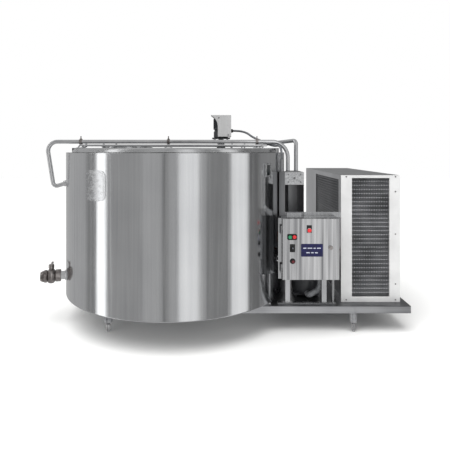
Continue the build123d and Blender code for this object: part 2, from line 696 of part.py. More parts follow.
def skid_frame():
    beams = [channel(*plan) for plan in beam_plan()]
    spaces = [channel_space(*plan) for plan in beam_plan()]
    frame = beams[0] + beams[1:]
    frame -= spaces
    for foot in FEET:
        frame += foot_socket(*foot)
    for x in (SKID_X0 + 70, MACHINE_X0 - 180):
        for y in (-SKID_Y + BEAM / 2, SKID_Y - BEAM / 2):
            frame += block(x - 30, x + 30, y - BEAM / 2, y + BEAM / 2, BEAM_TOP, BASE_Z)
    return frame


def adjustable_foot(x, y, radius, foot_r):
    low = BEAM_TOP - BEAM - SOCKET_L
    stem = disc(foot_r * 0.75, low - 2, BEAM_TOP - BEAM + 8, x, y)
    tip = turned([(0, 0), (foot_r * 0.62, 0), (foot_r * 0.92, 6), (foot_r, 14), (foot_r, low - 8),
                  (foot_r * 0.8, low - 2), (0, low - 2)])
    return stem + Pos(x, y, 0) * tip


def deck_plate():
    return block(MACHINE_X0, SKID_X1, -SKID_Y, SKID_REAR, BEAM_TOP, DECK_Z)


# ---------------------------------------------------------------- condenser cabinet
COIL_X0 = CAB_X0 + STILE_L
COIL_X1 = CAB_X1 - STILE_R
COIL_Z0 = DECK_Z + RAIL_BOTTOM
COIL_Z1 = CAB_Z1 - RAIL_TOP
FACE_T = 2.0


def cabinet():
    """Folded sheet housing, open behind the front frame and at the left side's louvre."""
    z0 = DECK_Z
    shell = block(CAB_X0, CAB_X1, CAB_Y0 + FACE_T, CAB_Y1, z0, CAB_Z1)
    shell -= block(CAB_X0 + CAB_T, CAB_X1 - CAB_T, CAB_Y0 - 1, CAB_Y1 - CAB_T, z0 + CAB_T, CAB_Z1 - CAB_T)
    shell -= block(CAB_X0 - 1, CAB_X0 + CAB_T + 1, SIDE_Y0, SIDE_Y1, z0 + SIDE_MARGIN, CAB_Z1 - SIDE_MARGIN)
    back_z = (z0 + 60, CAB_Z1 - 60)
    shell -= block(CAB_X0 + 50, CAB_X1 - 50, CAB_Y1 - 5, CAB_Y1 + 1, *back_z)
    for row in range(1, 12):
        z = back_z[0] + row * (back_z[1] - back_z[0]) / 12
        slat = block(CAB_X0 + 49, CAB_X1 - 49, CAB_Y1 - CAB_T, CAB_Y1, z - 14, z + 14)
        shell += slat
    return shell


def front_frame():
    """White front face round the condenser."""
    face = block(CAB_X0, CAB_X1, CAB_Y0, CAB_Y0 + FACE_T, DECK_Z, CAB_Z1)
    face -= block(COIL_X0, COIL_X1, CAB_Y0 - 1, CAB_Y0 + 5, COIL_Z0, COIL_Z1)
    lip = block(COIL_X0 - FACE_T, COIL_X1 + FACE_T, CAB_Y0 + FACE_T, CAB_Y0 + COIL_RECESS,
                COIL_Z0 - FACE_T, COIL_Z1 + FACE_T)
    lip -= block(COIL_X0, COIL_X1, CAB_Y0, CAB_Y0 + 2 * COIL_RECESS, COIL_Z0, COIL_Z1)
    return face + lip


def condenser_coil():
    """Finned block with its rows of horizontal tubes."""
    y0 = CAB_Y0 + COIL_RECESS + 6
    rows = int((COIL_Z1 - COIL_Z0) / ROW_PITCH)
    coil = block(COIL_X0 - 20, COIL_X1 + 20, y0, y0 + COIL_D, COIL_Z0 - 4, COIL_Z1 + 4)
    first = (COIL_Z0 + COIL_Z1 - (rows - 1) * ROW_PITCH) / 2
    for row in range(rows):
        z = first + row * ROW_PITCH
        coil += rod((COIL_X0 - 28, y0, z), (1, 0, 0), COIL_X1 - COIL_X0 + 56, COIL_TUBE_R)
    return coil


def side_louvre():
    """Slatted grille of the left side."""
    z0, z1 = DECK_Z + SIDE_MARGIN, CAB_Z1 - SIDE_MARGIN
    x0, x1 = CAB_X0 + CAB_T + CLEAR, CAB_X0 + CAB_T + CLEAR + 10
    frame = block(x0, x1, SIDE_Y0 - 12, SIDE_Y1 + 12, z0 - 12, z1 + 12)
    frame -= block(x0 - 1, x1 + 1, SIDE_Y0 + 2, SIDE_Y1 - 2, z0 + 2, z1 - 2)
    pitch = (z1 - z0) / SLATS
    middle = ((x0 + x1) / 2, (SIDE_Y0 + SIDE_Y1) / 2)
    for row in range(SLATS):
        z = z0 + (row + 0.5) * pitch
        slat = Pos(*middle, z) * (Rot(0, 60, 0) * Box(12, SIDE_Y1 - SIDE_Y0, 1.5))
        frame += slat & block(x0, x1, SIDE_Y0 - 5, SIDE_Y1 + 5, z0 - 5, z1 + 5)
    return frame


def fan_shroud():
    x0, x1 = CAB_X0 + CAB_T + 14, CAB_X1 - CAB_T - CLEAR
    plate = block(x0, x1, FAN_Y, FAN_Y + 2, DECK_Z + CAB_T + CLEAR, CAB_Z1 - CAB_T - CLEAR)
    cx = (CAB_X0 + CAB_X1) / 2
    for z in FAN_ZS:
        plate += pipe((cx, FAN_Y, z), (0, 1, 0), FAN_DEPTH, FAN_R + FAN_GAP + 2, FAN_R + FAN_GAP)
        plate -= rod((cx, FAN_Y - 5, z), (0, 1, 0), FAN_DEPTH + 10, FAN_R + FAN_GAP)
        for turn in range(3):
            arm = block(FAN_MOTOR_R + 1, FAN_R + FAN_GAP + 1, FAN_DEPTH + 8, FAN_DEPTH + 14, -6, 6)
            tab = block(FAN_R + FAN_GAP - 8, FAN_R + FAN_GAP + 1, FAN_DEPTH - 1, FAN_DEPTH + 14, -6, 6)
            plate += Pos(cx, FAN_Y, z) * (Rot(0, 120 * turn + 90, 0) * (arm + tab))
        plate += pipe((cx, FAN_Y + FAN_DEPTH + 8, z), (0, 1, 0), 6, FAN_MOTOR_R + 4, FAN_MOTOR_R + CLEAR)
    return plate


def fan_motor(z):
    cx = (CAB_X0 + CAB_X1) / 2
    y0 = FAN_Y + FAN_DEPTH + 2
    body = rod((cx, y0, z), (0, 1, 0), 70, FAN_MOTOR_R)
    body = fillet(body.edges().group_by(Axis.Y)[-1], 8)
    return body - rod((cx, y0 - 1, z), (0, 1, 0), 30, STEM_R + RUN_FIT)


def fan(z):
    """Axial fan: hub, pitched blades and the stub that turns in its motor."""
    cx = (CAB_X0 + CAB_X1) / 2
    wheel = rod((0, 4, 0), (0, 1, 0), FAN_DEPTH - 8, 34)
    for turn in range(BLADES):
        blade = block(28, FAN_R - 1, -1.5, 1.5, -38, 38)
        blade = round_all(blade, 1.2, Axis.X)
        blade = Pos(0, FAN_DEPTH / 2 - 1, 0) * (Rot(22, 0, 0) * blade)
        wheel += Rot(0, 360 / BLADES * turn, 0) * blade
    wheel = wheel & rod((0, -20, 0), (0, 1, 0), FAN_DEPTH + 40, FAN_R)
    wheel += rod((0, 6, 0), (0, 1, 0), FAN_DEPTH + 16, STEM_R)
    return Pos(cx, FAN_Y, z) * wheel


def fasteners():
    """Dome-headed screws: front face, box cover and motor hood."""
    heads = []
    xs = (CAB_X0 + 32, CAB_X1 - 28)
    for z in (DECK_Z + 14, CAB_Z1 - 9):
        for x in xs:
            heads.append(rod((x, CAB_Y0, z), (0, -1, 0), 2.5, 4.5))
    for z in (DECK_Z + 110, DECK_Z + 415, CAB_Z1 - 100):
        heads.append(rod((xs[1], CAB_Y0, z), (0, -1, 0), 2.5, 4.5))
    cover = BOX_FRONT - 2.5
    for x in (R - 13, R + 60):
        for z in (BOX_Z1 - 14, BOX_Z1 - 60):
            heads.append(rod((x, cover, z), (0, -1, 0), 2.5, 4.0))
    heads.append(rod((R + 23, cover, BOX_Z1 - 37), (0, -1, 0), 5.0, 7.0))
    side = HOOD_W / 2
    for y, way in ((-side, -1), (side, 1)):
        heads.append(rod((AGI_X - 14, y, HOOD_Z + HOOD_H - 18), (0, way, 0), 3.0, 6.0))
        heads.append(rod((AGI_X + 50, y, HOOD_Z + 12), (0, way, 0), 3.0, 6.0))
    for x, y in ((-44, -42), (44, -42), (-44, 42), (44, 42)):
        heads.append(disc(7, FLANGE_Z - 7, FLANGE_Z, AGI_X + x, y))
    return heads


# ---------------------------------------------------------------- control panel
DOOR_BACK = PANEL_FRONT + DOOR_RETURN
LIP = 20.0               # sheet beside the hinges, left of the case
HINGE_X = PANEL_X0 - 5.0
HINGE_Y = PANEL_FRONT + 6.0


def knuckle(z0, z1):
    return ring(PIN_R + RUN_FIT, PIN_R + 2.5, z0, z1, HINGE_X, HINGE_Y)


def enclosure():
    y0 = DOOR_BACK + 1.5
    case = block(PANEL_X0, PANEL_X1, y0, PANEL_BACK, PANEL_Z0, PANEL_Z1)
    t = PANEL_T
    case -= block(PANEL_X0 + t, PANEL_X1 - t, y0 - 1, PANEL_BACK - t, PANEL_Z0 + t, PANEL_Z1 - t)
    case += block(PANEL_X0 - LIP, PANEL_X0 + t, y0 + 12, y0 + 12 + t, PANEL_Z0, PANEL_Z1)
    for z in HINGE_ZS:
        case += knuckle(z - KNUCKLE_L, z - 0.2)
        leaf = block(HINGE_X - 1, PANEL_X0 + t, HINGE_Y + 4.5, y0 + 14, z - KNUCKLE_L, z - 0.2)
        leaf -= block(HINGE_X + 1, PANEL_X0 + t + 1, HINGE_Y, y0, z - KNUCKLE_L - 1, z + 1)
        case += leaf
    return case


def hinge_pins():
    return [disc(PIN_R, z - KNUCKLE_L, z + KNUCKLE_L - 1, HINGE_X, HINGE_Y) for z in HINGE_ZS]


def control_holes():
    holes = []
    for (x, z), r in ((LAMP, 11.0), (SELECTOR, 11.0), (KNOB, 11.0), (LOCK, 9.0)):
        holes.append(rod((x, PANEL_FRONT - 1, z), (0, 1, 0), DOOR_RETURN + 5, r + CLEAR))
    x, z = BUTTONS
    for side in (-13, 13):
        holes.append(rod((x + side, PANEL_FRONT - 1, z), (0, 1, 0), DOOR_RETURN + 5, 11.0 + CLEAR))
    return holes


def panel_door():
    x0, x1 = PANEL_X0 + 2, PANEL_X1 - 2
    z0, z1 = PANEL_Z0 + 1, PANEL_Z1 - 1
    leaf = block(x0, x1, PANEL_FRONT, DOOR_BACK, z0, z1)
    leaf -= block(x0 + DOOR_T, x1 - DOOR_T, PANEL_FRONT + DOOR_T, DOOR_BACK + 1, z0 + DOOR_T, z1 - DOOR_T)
    for hole in control_holes():
        leaf -= hole
    for z in HINGE_ZS:
        leaf += knuckle(z + 0.2, z + KNUCKLE_L)
        leaf += block(HINGE_X + PIN_R + 1, x0 + 1, HINGE_Y - 2, HINGE_Y + 2, z + 0.2, z + KNUCKLE_L)
    return leaf


def legend(x, z, w, h):
    """Black legend plate on the door."""
    plate = block(x - w / 2, x + w / 2, PANEL_FRONT - 2, PANEL_FRONT, z - h / 2, z + h / 2)
    return round_all(plate, 3, Axis.Y)


def barrel(x, z, r, bore):
    """Mounting barrel of a control, through the door."""
    y0 = PANEL_FRONT - 2
    return pipe((x, y0, z), (0, 1, 0), 2 + DOOR_RETURN + 14, r, bore)


def pilot_lamp():
    x, z = LAMP
    lamp = legend(x, z + 8, 30, 44) + barrel(x, z, 11, 6)
    lamp += rod((x, PANEL_FRONT - 2, z), (0, -1, 0), 4, 14.5)
    dome = rod((x, PANEL_FRONT - 6, z), (0, -1, 0), 7, 12)
    return lamp + fillet(dome.edges().group_by(Axis.Y)[0], 5)


def button_bezel():
    x, z = BUTTONS
    plate = block(x - 28, x + 28, PANEL_FRONT - 7, PANEL_FRONT, z - 17, z + 17)
    plate = round_all(plate, 8, Axis.Y)
    for side in (-13, 13):
        plate += barrel(x + side, z, 11, 8)
        plate -= rod((x + side, PANEL_FRONT - 8, z), (0, 1, 0), 7.2, 11 + SLIDE_FIT)
        plate -= rod((x + side, PANEL_FRONT - 8, z), (0, 1, 0), 60, 6 + SLIDE_FIT)
    return plate


def push_button(side):
    x, z = BUTTONS
    cap = rod((x + side, PANEL_FRONT - 11, z), (0, 1, 0), 7, 11)
    cap += rod((x + side, PANEL_FRONT - 5, z), (0, 1, 0), 28, 6)
    return cap


def selector_base():
    x, z = SELECTOR
    body = legend(x, z + 4, 30, 46) - rod((x, PANEL_FRONT - 5, z), (0, 1, 0), 20, 6 + RUN_FIT)
    return body + barrel(x, z, 11, 6 + RUN_FIT)


def selector_switch():
    x, z = SELECTOR
    top = rod((x, PANEL_FRONT - 2.4, z), (0, -1, 0), 6, 12)
    grip = block(x - 4, x + 4, PANEL_FRONT - 18, PANEL_FRONT - 8, z - 12, z + 12)
    return top + round_all(grip, 3, Axis.Y) + rod((x, PANEL_FRONT - 3, z), (0, 1, 0), 25, 6)


def control_knob():
    x, z = KNOB
    grip = rod((x, PANEL_FRONT - 0.4, z), (0, -1, 0), 5, 16)
    grip += rod((x, PANEL_FRONT - 5, z), (0, -1, 0), 13, 12)
    for turn in range(12):
        angle = radians(30 * turn)
        grip -= rod((x + 12.6 * cos(angle), PANEL_FRONT - 6, z + 12.6 * sin(angle)), (0, -1, 0), 20, 1.6)
    return grip + rod((x, PANEL_FRONT - 1, z), (0, 1, 0), 25, 11.0 + CLEAR - RUN_FIT)


def door_lock():
    """Quarter-turn lock with its cam behind the door."""
    x, z = LOCK
    body = rod((x, PANEL_FRONT - 0.4, z), (0, -1, 0), 5, 13)
    body += rod((x, PANEL_FRONT - 5, z), (0, -1, 0), 4, 9)
    body -= block(x - 1.2, x + 1.2, PANEL_FRONT - 10, PANEL_FRONT - 5, z - 6, z + 6)
    body += rod((x, PANEL_FRONT - 1, z), (0, 1, 0), 14, 9.0 + CLEAR - RUN_FIT)
    cam = block(x - 7, PANEL_X1 - DOOR_T - 5, PANEL_FRONT + 9, PANEL_FRONT + 12, z - 8, z + 8)
    return body + cam


def name_plate():
    x, z, w, h = PLATE
    plate = block(x - w / 2, x + w / 2, PANEL_FRONT - 1.5, PANEL_FRONT, z - h / 2, z + h / 2)
    return round_all(plate, 4, Axis.Y)


def control_gear():
    """Mounting plate, rail, contactors and breaker inside the enclosure."""
    back = PANEL_BACK - PANEL_T - CLEAR
    plate = block(PANEL_X0 + 20, PANEL_X1 - 20, back - 3, back, PANEL_Z0 + 20, PANEL_Z1 - 20)
    rail_z = (PANEL_Z0 + PANEL_Z1) / 2 + 10
    plate += block(PANEL_X0 + 35, PANEL_X1 - 35, back - 11, back - 3, rail_z - 17, rail_z + 17)
    for slot in range(4):
        x = PANEL_X0 + 70 + 55 * slot
        depth = 60 if slot < 2 else 48
        plate += block(x - 22, x + 22, back - 11 - depth, back - 11, rail_z - 40, rail_z + 40)
    return plate


def panel_stand():
    """Two square posts on a base rail, and the wiring pipe down to the deck."""
    rail = block(RAIL_X0, RAIL_X1, POST_Y - RAIL_W / 2, POST_Y + RAIL_W / 2, DECK_Z, DECK_Z + RAIL_T)
    for x in POST_XS:
        rail += block(x - POST / 2, x + POST / 2, POST_Y - POST / 2, POST_Y + POST / 2, DECK_Z, PANEL_Z0)
    rail += disc(WIRING_R, DECK_Z, PANEL_Z0, WIRING_X, POST_Y)
    return rail


# ---------------------------------------------------------------- connection box
def connection_box():
    outline = make_face(Polyline(*BOX_PLAN, close=True))
    inside = offset(outline, amount=-BOX_T, kind=Kind.INTERSECTION)
    case = Pos(0, 0, BOX_Z0) * extrude(outline, BOX_Z1 - BOX_Z0)
    case -= Pos(0, 0, BOX_Z0 + BOX_T) * extrude(inside, BOX_Z1 - BOX_Z0 - 2 * BOX_T)
    x0, x1 = BOX_PLAN[0][0] + BOX_T, BOX_PLAN[1][0] - BOX_T
    case -= block(x0, x1, BOX_FRONT - 1, BOX_FRONT + 5, BOX_OPEN_Z0, BOX_Z1 - BOX_T)
    case -= disc(PIPE_R + CLEAR, BOX_Z1 - 10, BOX_Z1 + 10, PIPE_DROP_X, PIPE_Y)
    case -= disc(PIPE_R + CLEAR, BOX_Z1 - 10, BOX_Z1 + 10, *REAR_PIPE_DROP)
    case -= disc(CABLE_R + CLEAR, BOX_Z1 - 10, BOX_Z1 + 10, *STUB)
    return case + ring(CABLE_R + CLEAR, STUB_R, BOX_Z1, STUB_TOP, *STUB)


def box_cover():
    x0, x1 = BOX_PLAN[0][0], BOX_PLAN[1][0]
    return block(x0, x1, BOX_FRONT - 2.5, BOX_FRONT - CLEAR, BOX_OPEN_Z1, BOX_Z1)


def box_shelf():
    """Angle from the box to the cabinet, and the plate that ties the box to the panel."""
    x0, x1 = BOX_PLAN[1][0] + CLEAR, CAB_X0 - CLEAR
    angle = block(x0, x1, BOX_FRONT, BOX_FRONT + 3, BOX_Z0, BOX_OPEN_Z0)
    angle += block(x0, x1, BOX_FRONT, BOX_FRONT + 40, BOX_Z0, BOX_Z0 + 3)
    tie = block(TIE_X0, TIE_X0 + TIE_W, PANEL_BACK, BOX_FRONT, PANEL_Z1 - 80, BOX_OPEN_Z0 - 4)
    return [angle, tie]


# ---------------------------------------------------------------- refrigeration set
def compressor():
    x, y = COMP
    z0 = DECK_Z + 12
    shell = disc(COMP_R, z0, z0 + COMP_H, x, y)
    shell = fillet(shell.edges().group_by(Axis.Z)[0] + shell.edges().group_by(Axis.Z)[-1], 40)
    shell += disc(COMP_R + 3, z0 + COMP_H * 0.45, z0 + COMP_H * 0.45 + 12, x, y)
    shell += block(x - 80, x + 80, y - 50, y + 50, z0 - 4, z0 + 20)
    for sx in (-65, 65):
        for sy in (-38, 38):
            shell += disc(11, DECK_Z, z0, x + sx, y + sy)
    shell += rod((x, y - COMP_R + 4, DECK_Z + 34), (0, -1, 0), 14, SUCTION_R - 3)
    shell += disc(8, z0 + COMP_H - 4, z0 + COMP_H + 12, x, y + 30)
    return shell


def suction_line():
    x, y = COMP
    z = DECK_Z + 34
    end = y - COMP_R - 10 - CLEAR
    points = [SUCTION_MOUTH, (x + 72, SUCTION_Y, SUCTION_Z), (x + 72, SUCTION_Y, z + 40),
              (x, SUCTION_Y, z), (x, end, z)]
    return bent(points, [45, 60, 24], SUCTION_R)


def discharge_line():
    x, y = COMP[0], COMP[1] + 30
    z = DECK_Z + 12 + COMP_H + 12
    points = [(x, y, z), (x, y, z + 70), (x, DISCHARGE_Y, z + 70), (CAB_X0 - CLEAR, DISCHARGE_Y, z + 70)]
    return bent(points, [30, 30], LINE_R + 1)


def liquid_line():
    return rod(LIQUID_MOUTH, (1, 0, 0), CAB_X0 - LIQUID_MOUTH[0] - CLEAR, LINE_R)


def liquid_receiver():
    x = RECEIVER_X
    z = DECK_Z + RECEIVER_R + 18
    tank = rod((x, RECEIVER_Y0, z), (0, 1, 0), RECEIVER_Y1 - RECEIVER_Y0, RECEIVER_R)
    tank = fillet(tank.edges().filter_by(GeomType.CIRCLE), 24)
    for y in (RECEIVER_Y0 + 50, RECEIVER_Y1 - 70):
        tank += block(x - 50, x + 50, y, y + 20, DECK_Z, z - 20)
    return tank


# ---------------------------------------------------------------- motor cable, clipped along the front pipe
GLAND_END = AGI_X + HOOD_BACK + 14 + CLEAR
GLAND_Z = HOOD_Z + 42
CABLE_ROUTE = [          # from the tank's right hand edge and the rim
    (-315.0, 0, 151), (-278.0, -13, 145), (-248.0, -43, 132), (-229.0, -91, 113), (-205.0, -126, 97),
    (-175.0, -149, 83), (-145.0, -161, 69), (-119.0, -173, 56), (-96.0, -191, 47), (-76.0, -214, 45),
    (-63.0, -242, 47), (-56.0, -274, 40), (-53.0, -301, 21)]
CABLE_POINTS = [(GLAND_END, 0, GLAND_Z)] + [(R + x, y, RIM_Z + z) for x, y, z in CABLE_ROUTE]
CABLE_POINTS += [(STUB[0], STUB[1], STUB_TOP + 32), (STUB[0], STUB[1], STUB_TOP - 20)]


def cable_radii(points):
    radii = []
    for before, here, after in zip(points, points[1:], points[2:]):
        first = Vector(*here) - Vector(*before)
        second = Vector(*after) - Vector(*here)
        turn = radians(first.get_angle(second))
        radii.append(0.45 * min(first.length, second.length) / tan(turn / 2))
    return radii


def motor_cable():
    radii = cable_radii(CABLE_POINTS)
    print("cable radii", [round(r) for r in radii])
    path = FilletPolyline(*CABLE_POINTS, radius=radii)
    section = Plane(origin=path @ 0, z_dir=path % 0) * Circle(CABLE_R)
    cable = sweep(section, path=path)
    ratio = cable.volume / (pi * CABLE_R ** 2 * path.length)
    print("cable length", round(path.length), "volume over section times length", round(ratio, 4))
    return cable


# ---------------------------------------------------------------- the whole object
nodes = {
    "outer_jacket": [outer_jacket()],
    "inner_vessel": [inner_vessel()],
    "insulation": insulation(),
    "evaporator_plate": [evaporator_plate()],
    "top_ring": [top_ring()],
    "lid_gasket": [lid_gasket()],
    "bridge": [bridge()],
    "inlet_cover": [inlet_cover()],
    "hinge_rods": [hinge_rod(), mirrored(hinge_rod())],
    "front_lid": [lid()],
    "rear_lid": [mirrored(lid())],
    "agitator_pedestal": [agitator_pedestal()],
    "gearmotor": [gearmotor()],
    "motor_hood": [motor_hood()],
    "cable_gland": [cable_gland()],
    "agitator_shaft": [agitator_shaft()],
    "agitator_paddle": [agitator_paddle()],
    "motor_cable": [motor_cable()],
    "cip_tube": [cip_tube()],
    "rear_tube": [rear_tube()],
    "tube_clamps": [tube_clamp(x) for x in CLAMP_XS],
    "tube_brackets": [tube_bracket(x) for x in CLAMP_XS],
    "spray_ball": [spray_ball()],
    "outlet_pipe": [outlet_pipe()],
    "outlet_nuts": [union_nut(), outlet_nut()],
    "valve_body": [valve_body()],
    "valve_disc": [valve_disc()],
    "valve_handle": [valve_handle()],
    "badge_plate": [badge_plate()],
    "thermometer": [thermometer()],
    "skid_frame": [skid_frame()],
    "adjustable_feet": [adjustable_foot(*foot) for foot in FEET],
    "deck_plate": [deck_plate()],
    "cabinet": [cabinet()],
    "front_frame": [front_frame()],
    "condenser_coil": [condenser_coil()],
    "side_louvre": [side_louvre()],
    "fan_shroud": [fan_shroud()],
    "fan_motors": [fan_motor(z) for z in FAN_ZS],
    "lower_fan": [fan(FAN_ZS[0])],
    "upper_fan": [fan(FAN_ZS[1])],
    "fasteners": fasteners() + hinge_pins(),
    "enclosure": [enclosure()],
    "panel_door": [panel_door()],
    "pilot_lamp": [pilot_lamp()],
    "control_bezels": [button_bezel(), selector_base()],
    "start_button": [push_button(-13)],
    "stop_button": [push_button(13)],
    "selector_switch": [selector_switch()],
    "control_knob": [control_knob()],
    "door_lock": [door_lock()],
    "name_plate": [name_plate()],
    "control_gear": [control_gear()],
    "panel_stand": [panel_stand()] + box_shelf(),
    "connection_box": [connection_box()],
    "box_cover": [box_cover()],
    "compressor": [compressor()],
    "suction_line": [suction_line()],
    "refrigerant_lines": [discharge_line(), liquid_line()],
    "liquid_receiver": [liquid_receiver()],
}

everything = Compound([solid for solids in nodes.values() for solid in solids]).bounding_box()
centre = (everything.min + everything.max) / 2
shift = Pos(-centre.X, -centre.Y, -everything.min.Z)
print("tank axis in the finished frame", [round(-value, 3) for value in (centre.X, centre.Y, everything.min.Z)])
for name, solids in nodes.items():
    export_step(Compound([shift * solid for solid in solids]), f"parts/{name}.step")
print(len(nodes), "nodes")
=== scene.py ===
# %% [markdown]
# # Bulk milk tank
# A round insulated tank keeps milk cold on a farm. Beside it, on the same skid, stand the
# refrigeration set and its control panel. The measured model comes in first as a fixed frame.
# Everything after that gives the frame its real surfaces and its finer shapes.

# %% Load the frame
import json
from math import atan2, cos, pi, radians, sin, sqrt
import bmesh
import bpy
from mathutils import Matrix, Vector


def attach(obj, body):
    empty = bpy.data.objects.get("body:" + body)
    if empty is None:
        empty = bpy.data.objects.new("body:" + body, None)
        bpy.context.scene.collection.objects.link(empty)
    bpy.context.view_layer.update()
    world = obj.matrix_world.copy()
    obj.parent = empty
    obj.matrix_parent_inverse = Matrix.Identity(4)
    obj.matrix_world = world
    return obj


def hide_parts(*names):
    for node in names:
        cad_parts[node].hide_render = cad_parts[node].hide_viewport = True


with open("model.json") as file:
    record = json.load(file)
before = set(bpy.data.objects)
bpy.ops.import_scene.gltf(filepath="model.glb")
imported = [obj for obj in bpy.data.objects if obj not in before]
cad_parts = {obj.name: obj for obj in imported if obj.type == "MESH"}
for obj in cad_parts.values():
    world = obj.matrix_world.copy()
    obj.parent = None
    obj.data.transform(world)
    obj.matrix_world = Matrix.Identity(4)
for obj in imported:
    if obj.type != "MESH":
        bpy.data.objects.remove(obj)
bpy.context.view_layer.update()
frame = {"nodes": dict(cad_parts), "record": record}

# %% [markdown]
# Sizes are given in millimetres about the tank's own axis, because that is how a tank is drawn
# in a workshop. One matrix then carries them to metres in the frame.

# %% Sizes in millimetres
TO_FRAME = Matrix.Translation((-0.291677, -0.053, 0.0)) @ Matrix.Scale(0.001, 4)
R = 725.0
BASE_Z, RIM_Z = 180.0, 1070.0
LID_R, LID_Z0, LID_TOP, LID_CROWN = 690.0, 1075.0, 1099.0, 7.0
LID_T = 2.0
BRIDGE_TOP = 1102.0
ROD_Y, ROD_Z = 230.0, 1118.0
PIPE_R, PIPE_Z, PIPE_Y = 12.7, 1142.0, -200.0
AGI_X = 296.0
HOOD_Z, HOOD_H = 1179.0, 145.0
DECK_Z = 159.0
CAB_X0, CAB_X1, CAB_Y0, CAB_Z1 = 1033.0, 1394.0, -339.0, 934.0
COIL_X0, COIL_X1, COIL_Z0, COIL_Z1 = 1100.0, 1330.0, 189.0, 917.0
SIDE_Y0, SIDE_Y1 = -280.0, 400.0
DOOR_Y = -480.0
OUTLET_Z = 290.0
OUTLET_ANGLE = radians(197.0)


def mm(x, y, z):
    """A workshop point in millimetres, as a frame point in metres."""
    return TO_FRAME @ Vector((x, y, z))


print("tank axis in the frame:", [round(v, 4) for v in mm(0, 0, 0)])

# %% [markdown]
# The scene is a plain pale floor under soft light. Polished steel shows nothing but what
# stands round it, so long upright cards, pale and dark, stand in a wide circle outside the
# view. They give the jacket its broad upright bands, as strip lights and dark doorways do.
# The bands could have been painted into the steel, but then they would stay in place when the
# view moves. Cards that only reflections can see leave the floor and the shadows alone.

# %% Colour helper and node helper


def linear(code):
    """A screen colour such as #8090a0, turned into the linear values that light needs."""
    channels = [int(code[i:i + 2], 16) / 255 for i in (1, 3, 5)]
    bent = [c / 12.92 if c <= 0.04045 else ((c + 0.055) / 1.055) ** 2.4 for c in channels]
    return (*bent, 1.0)


def add(tree, kind, inputs=None, **settings):
    """A new node with its settings; an input is either a value or another node's output."""
    node = tree.nodes.new(kind)
    for key, value in settings.items():
        setattr(node, key, value)
    for key, value in (inputs or {}).items():
        if isinstance(value, bpy.types.NodeSocket):
            tree.links.new(value, node.inputs[key])
        else:
            node.inputs[key].default_value = value
    return node


print("helpers ready")

# %% Camera
LENS, SENSOR, VIEW_SHIFT = 35.2, 36.0, -0.164
camera_data = bpy.data.cameras.new("camera")
camera_data.lens = LENS
camera_data.sensor_width = SENSOR
camera_data.shift_y = VIEW_SHIFT
camera = bpy.data.objects.new("camera", camera_data)
camera.location = mm(323.5, -3030.0, 1081.0)
camera.rotation_euler = (pi / 2, 0.0, 0.0)
bpy.context.scene.collection.objects.link(camera)
bpy.context.scene.camera = camera
print("camera at", [round(v, 3) for v in camera.location])

# %% World, floor and cards
bpy.context.scene.view_settings.view_transform = "Standard"
world = bpy.data.worlds.new("studio")
world.use_nodes = True
sky = world.node_tree
sky.nodes.clear()
room = add(sky, "ShaderNodeBackground", {"Color": linear("#ffffff"), "Strength": 0.55})
plain = add(sky, "ShaderNodeBackground", {"Color": linear("#ffffff"), "Strength": 1.0})
ray = add(sky, "ShaderNodeLightPath")
to_lens = ray.outputs["Is Camera Ray"]
shown = add(sky, "ShaderNodeMixShader", {0: to_lens, 1: room.outputs[0], 2: plain.outputs[0]})
add(sky, "ShaderNodeOutputWorld", {"Surface": shown.outputs[0]})
bpy.context.scene.world = world


def stage_mesh(name, corners, material):
    """A flat four-cornered piece of the studio."""
    mesh = bpy.data.meshes.new(name)
    mesh.from_pydata([tuple(c) for c in corners], [], [range(len(corners))])
    mesh.materials.append(material)
    piece = bpy.data.objects.new(name, mesh)
    bpy.context.scene.collection.objects.link(piece)
    return piece


def card_material(strength):
    material = bpy.data.materials.new(f"card {strength}")
    material.use_nodes = True
    tree = material.node_tree
    tree.nodes.clear()
    glow = add(tree, "ShaderNodeEmission", {"Strength": strength})
    add(tree, "ShaderNodeOutputMaterial", {"Surface": glow.outputs[0]})
    return material


floor_paint = bpy.data.materials.new("matt white floor")
floor_paint.use_nodes = True
floor_bsdf = floor_paint.node_tree.nodes["Principled BSDF"]
floor_bsdf.inputs["Base Color"].default_value = linear("#f2f2f1")
floor_bsdf.inputs["Roughness"].default_value = 0.9
floor_bsdf.inputs["Specular IOR Level"].default_value = 0.1
FLOOR_R = 14.0
floor = stage_mesh("floor", [(-FLOOR_R, -FLOOR_R, 0), (FLOOR_R, -FLOOR_R, 0), (FLOOR_R, FLOOR_R, 0),
                             (-FLOOR_R, FLOOR_R, 0)], floor_paint)
floor.visible_glossy = False

CARD_R = 7.0
CARD_Z = (-9.0, 9.0)
# azimuth from the service side towards the condenser in degrees, then brightness
CARDS = ((-165, -90, 0.5), (-90, -76, 0.3), (-75, -64, 2.0), (-62, -26, 0.4), (-25, -8, 0.5),
         (-8, -3, 0.25), (-3, 6, 0.5), (7, 25, 1.1), (26, 32, 0.5), (32, 56, 0.3), (57, 76, 1.1),
         (77, 92, 0.2), (92, 165, 0.3))


def cards():
    middle = mm(0, 0, 0)
    for number, (a0, a1, strength) in enumerate(CARDS):
        ends = [middle + Vector((sin(radians(a)), -cos(radians(a)), 0)) * CARD_R for a in (a0, a1)]
        corners = [(p.x, p.y, z) for p, z in ((ends[0], CARD_Z[0]), (ends[1], CARD_Z[0]),
                                              (ends[1], CARD_Z[1]), (ends[0], CARD_Z[1]))]
        card = stage_mesh(f"card_{number}", corners, card_material(strength))
        card.visible_camera = False
        card.visible_diffuse = False
        card.visible_shadow = False
        card.visible_transmission = False


cards()
print("cards:", len(CARDS))

# %% Lights


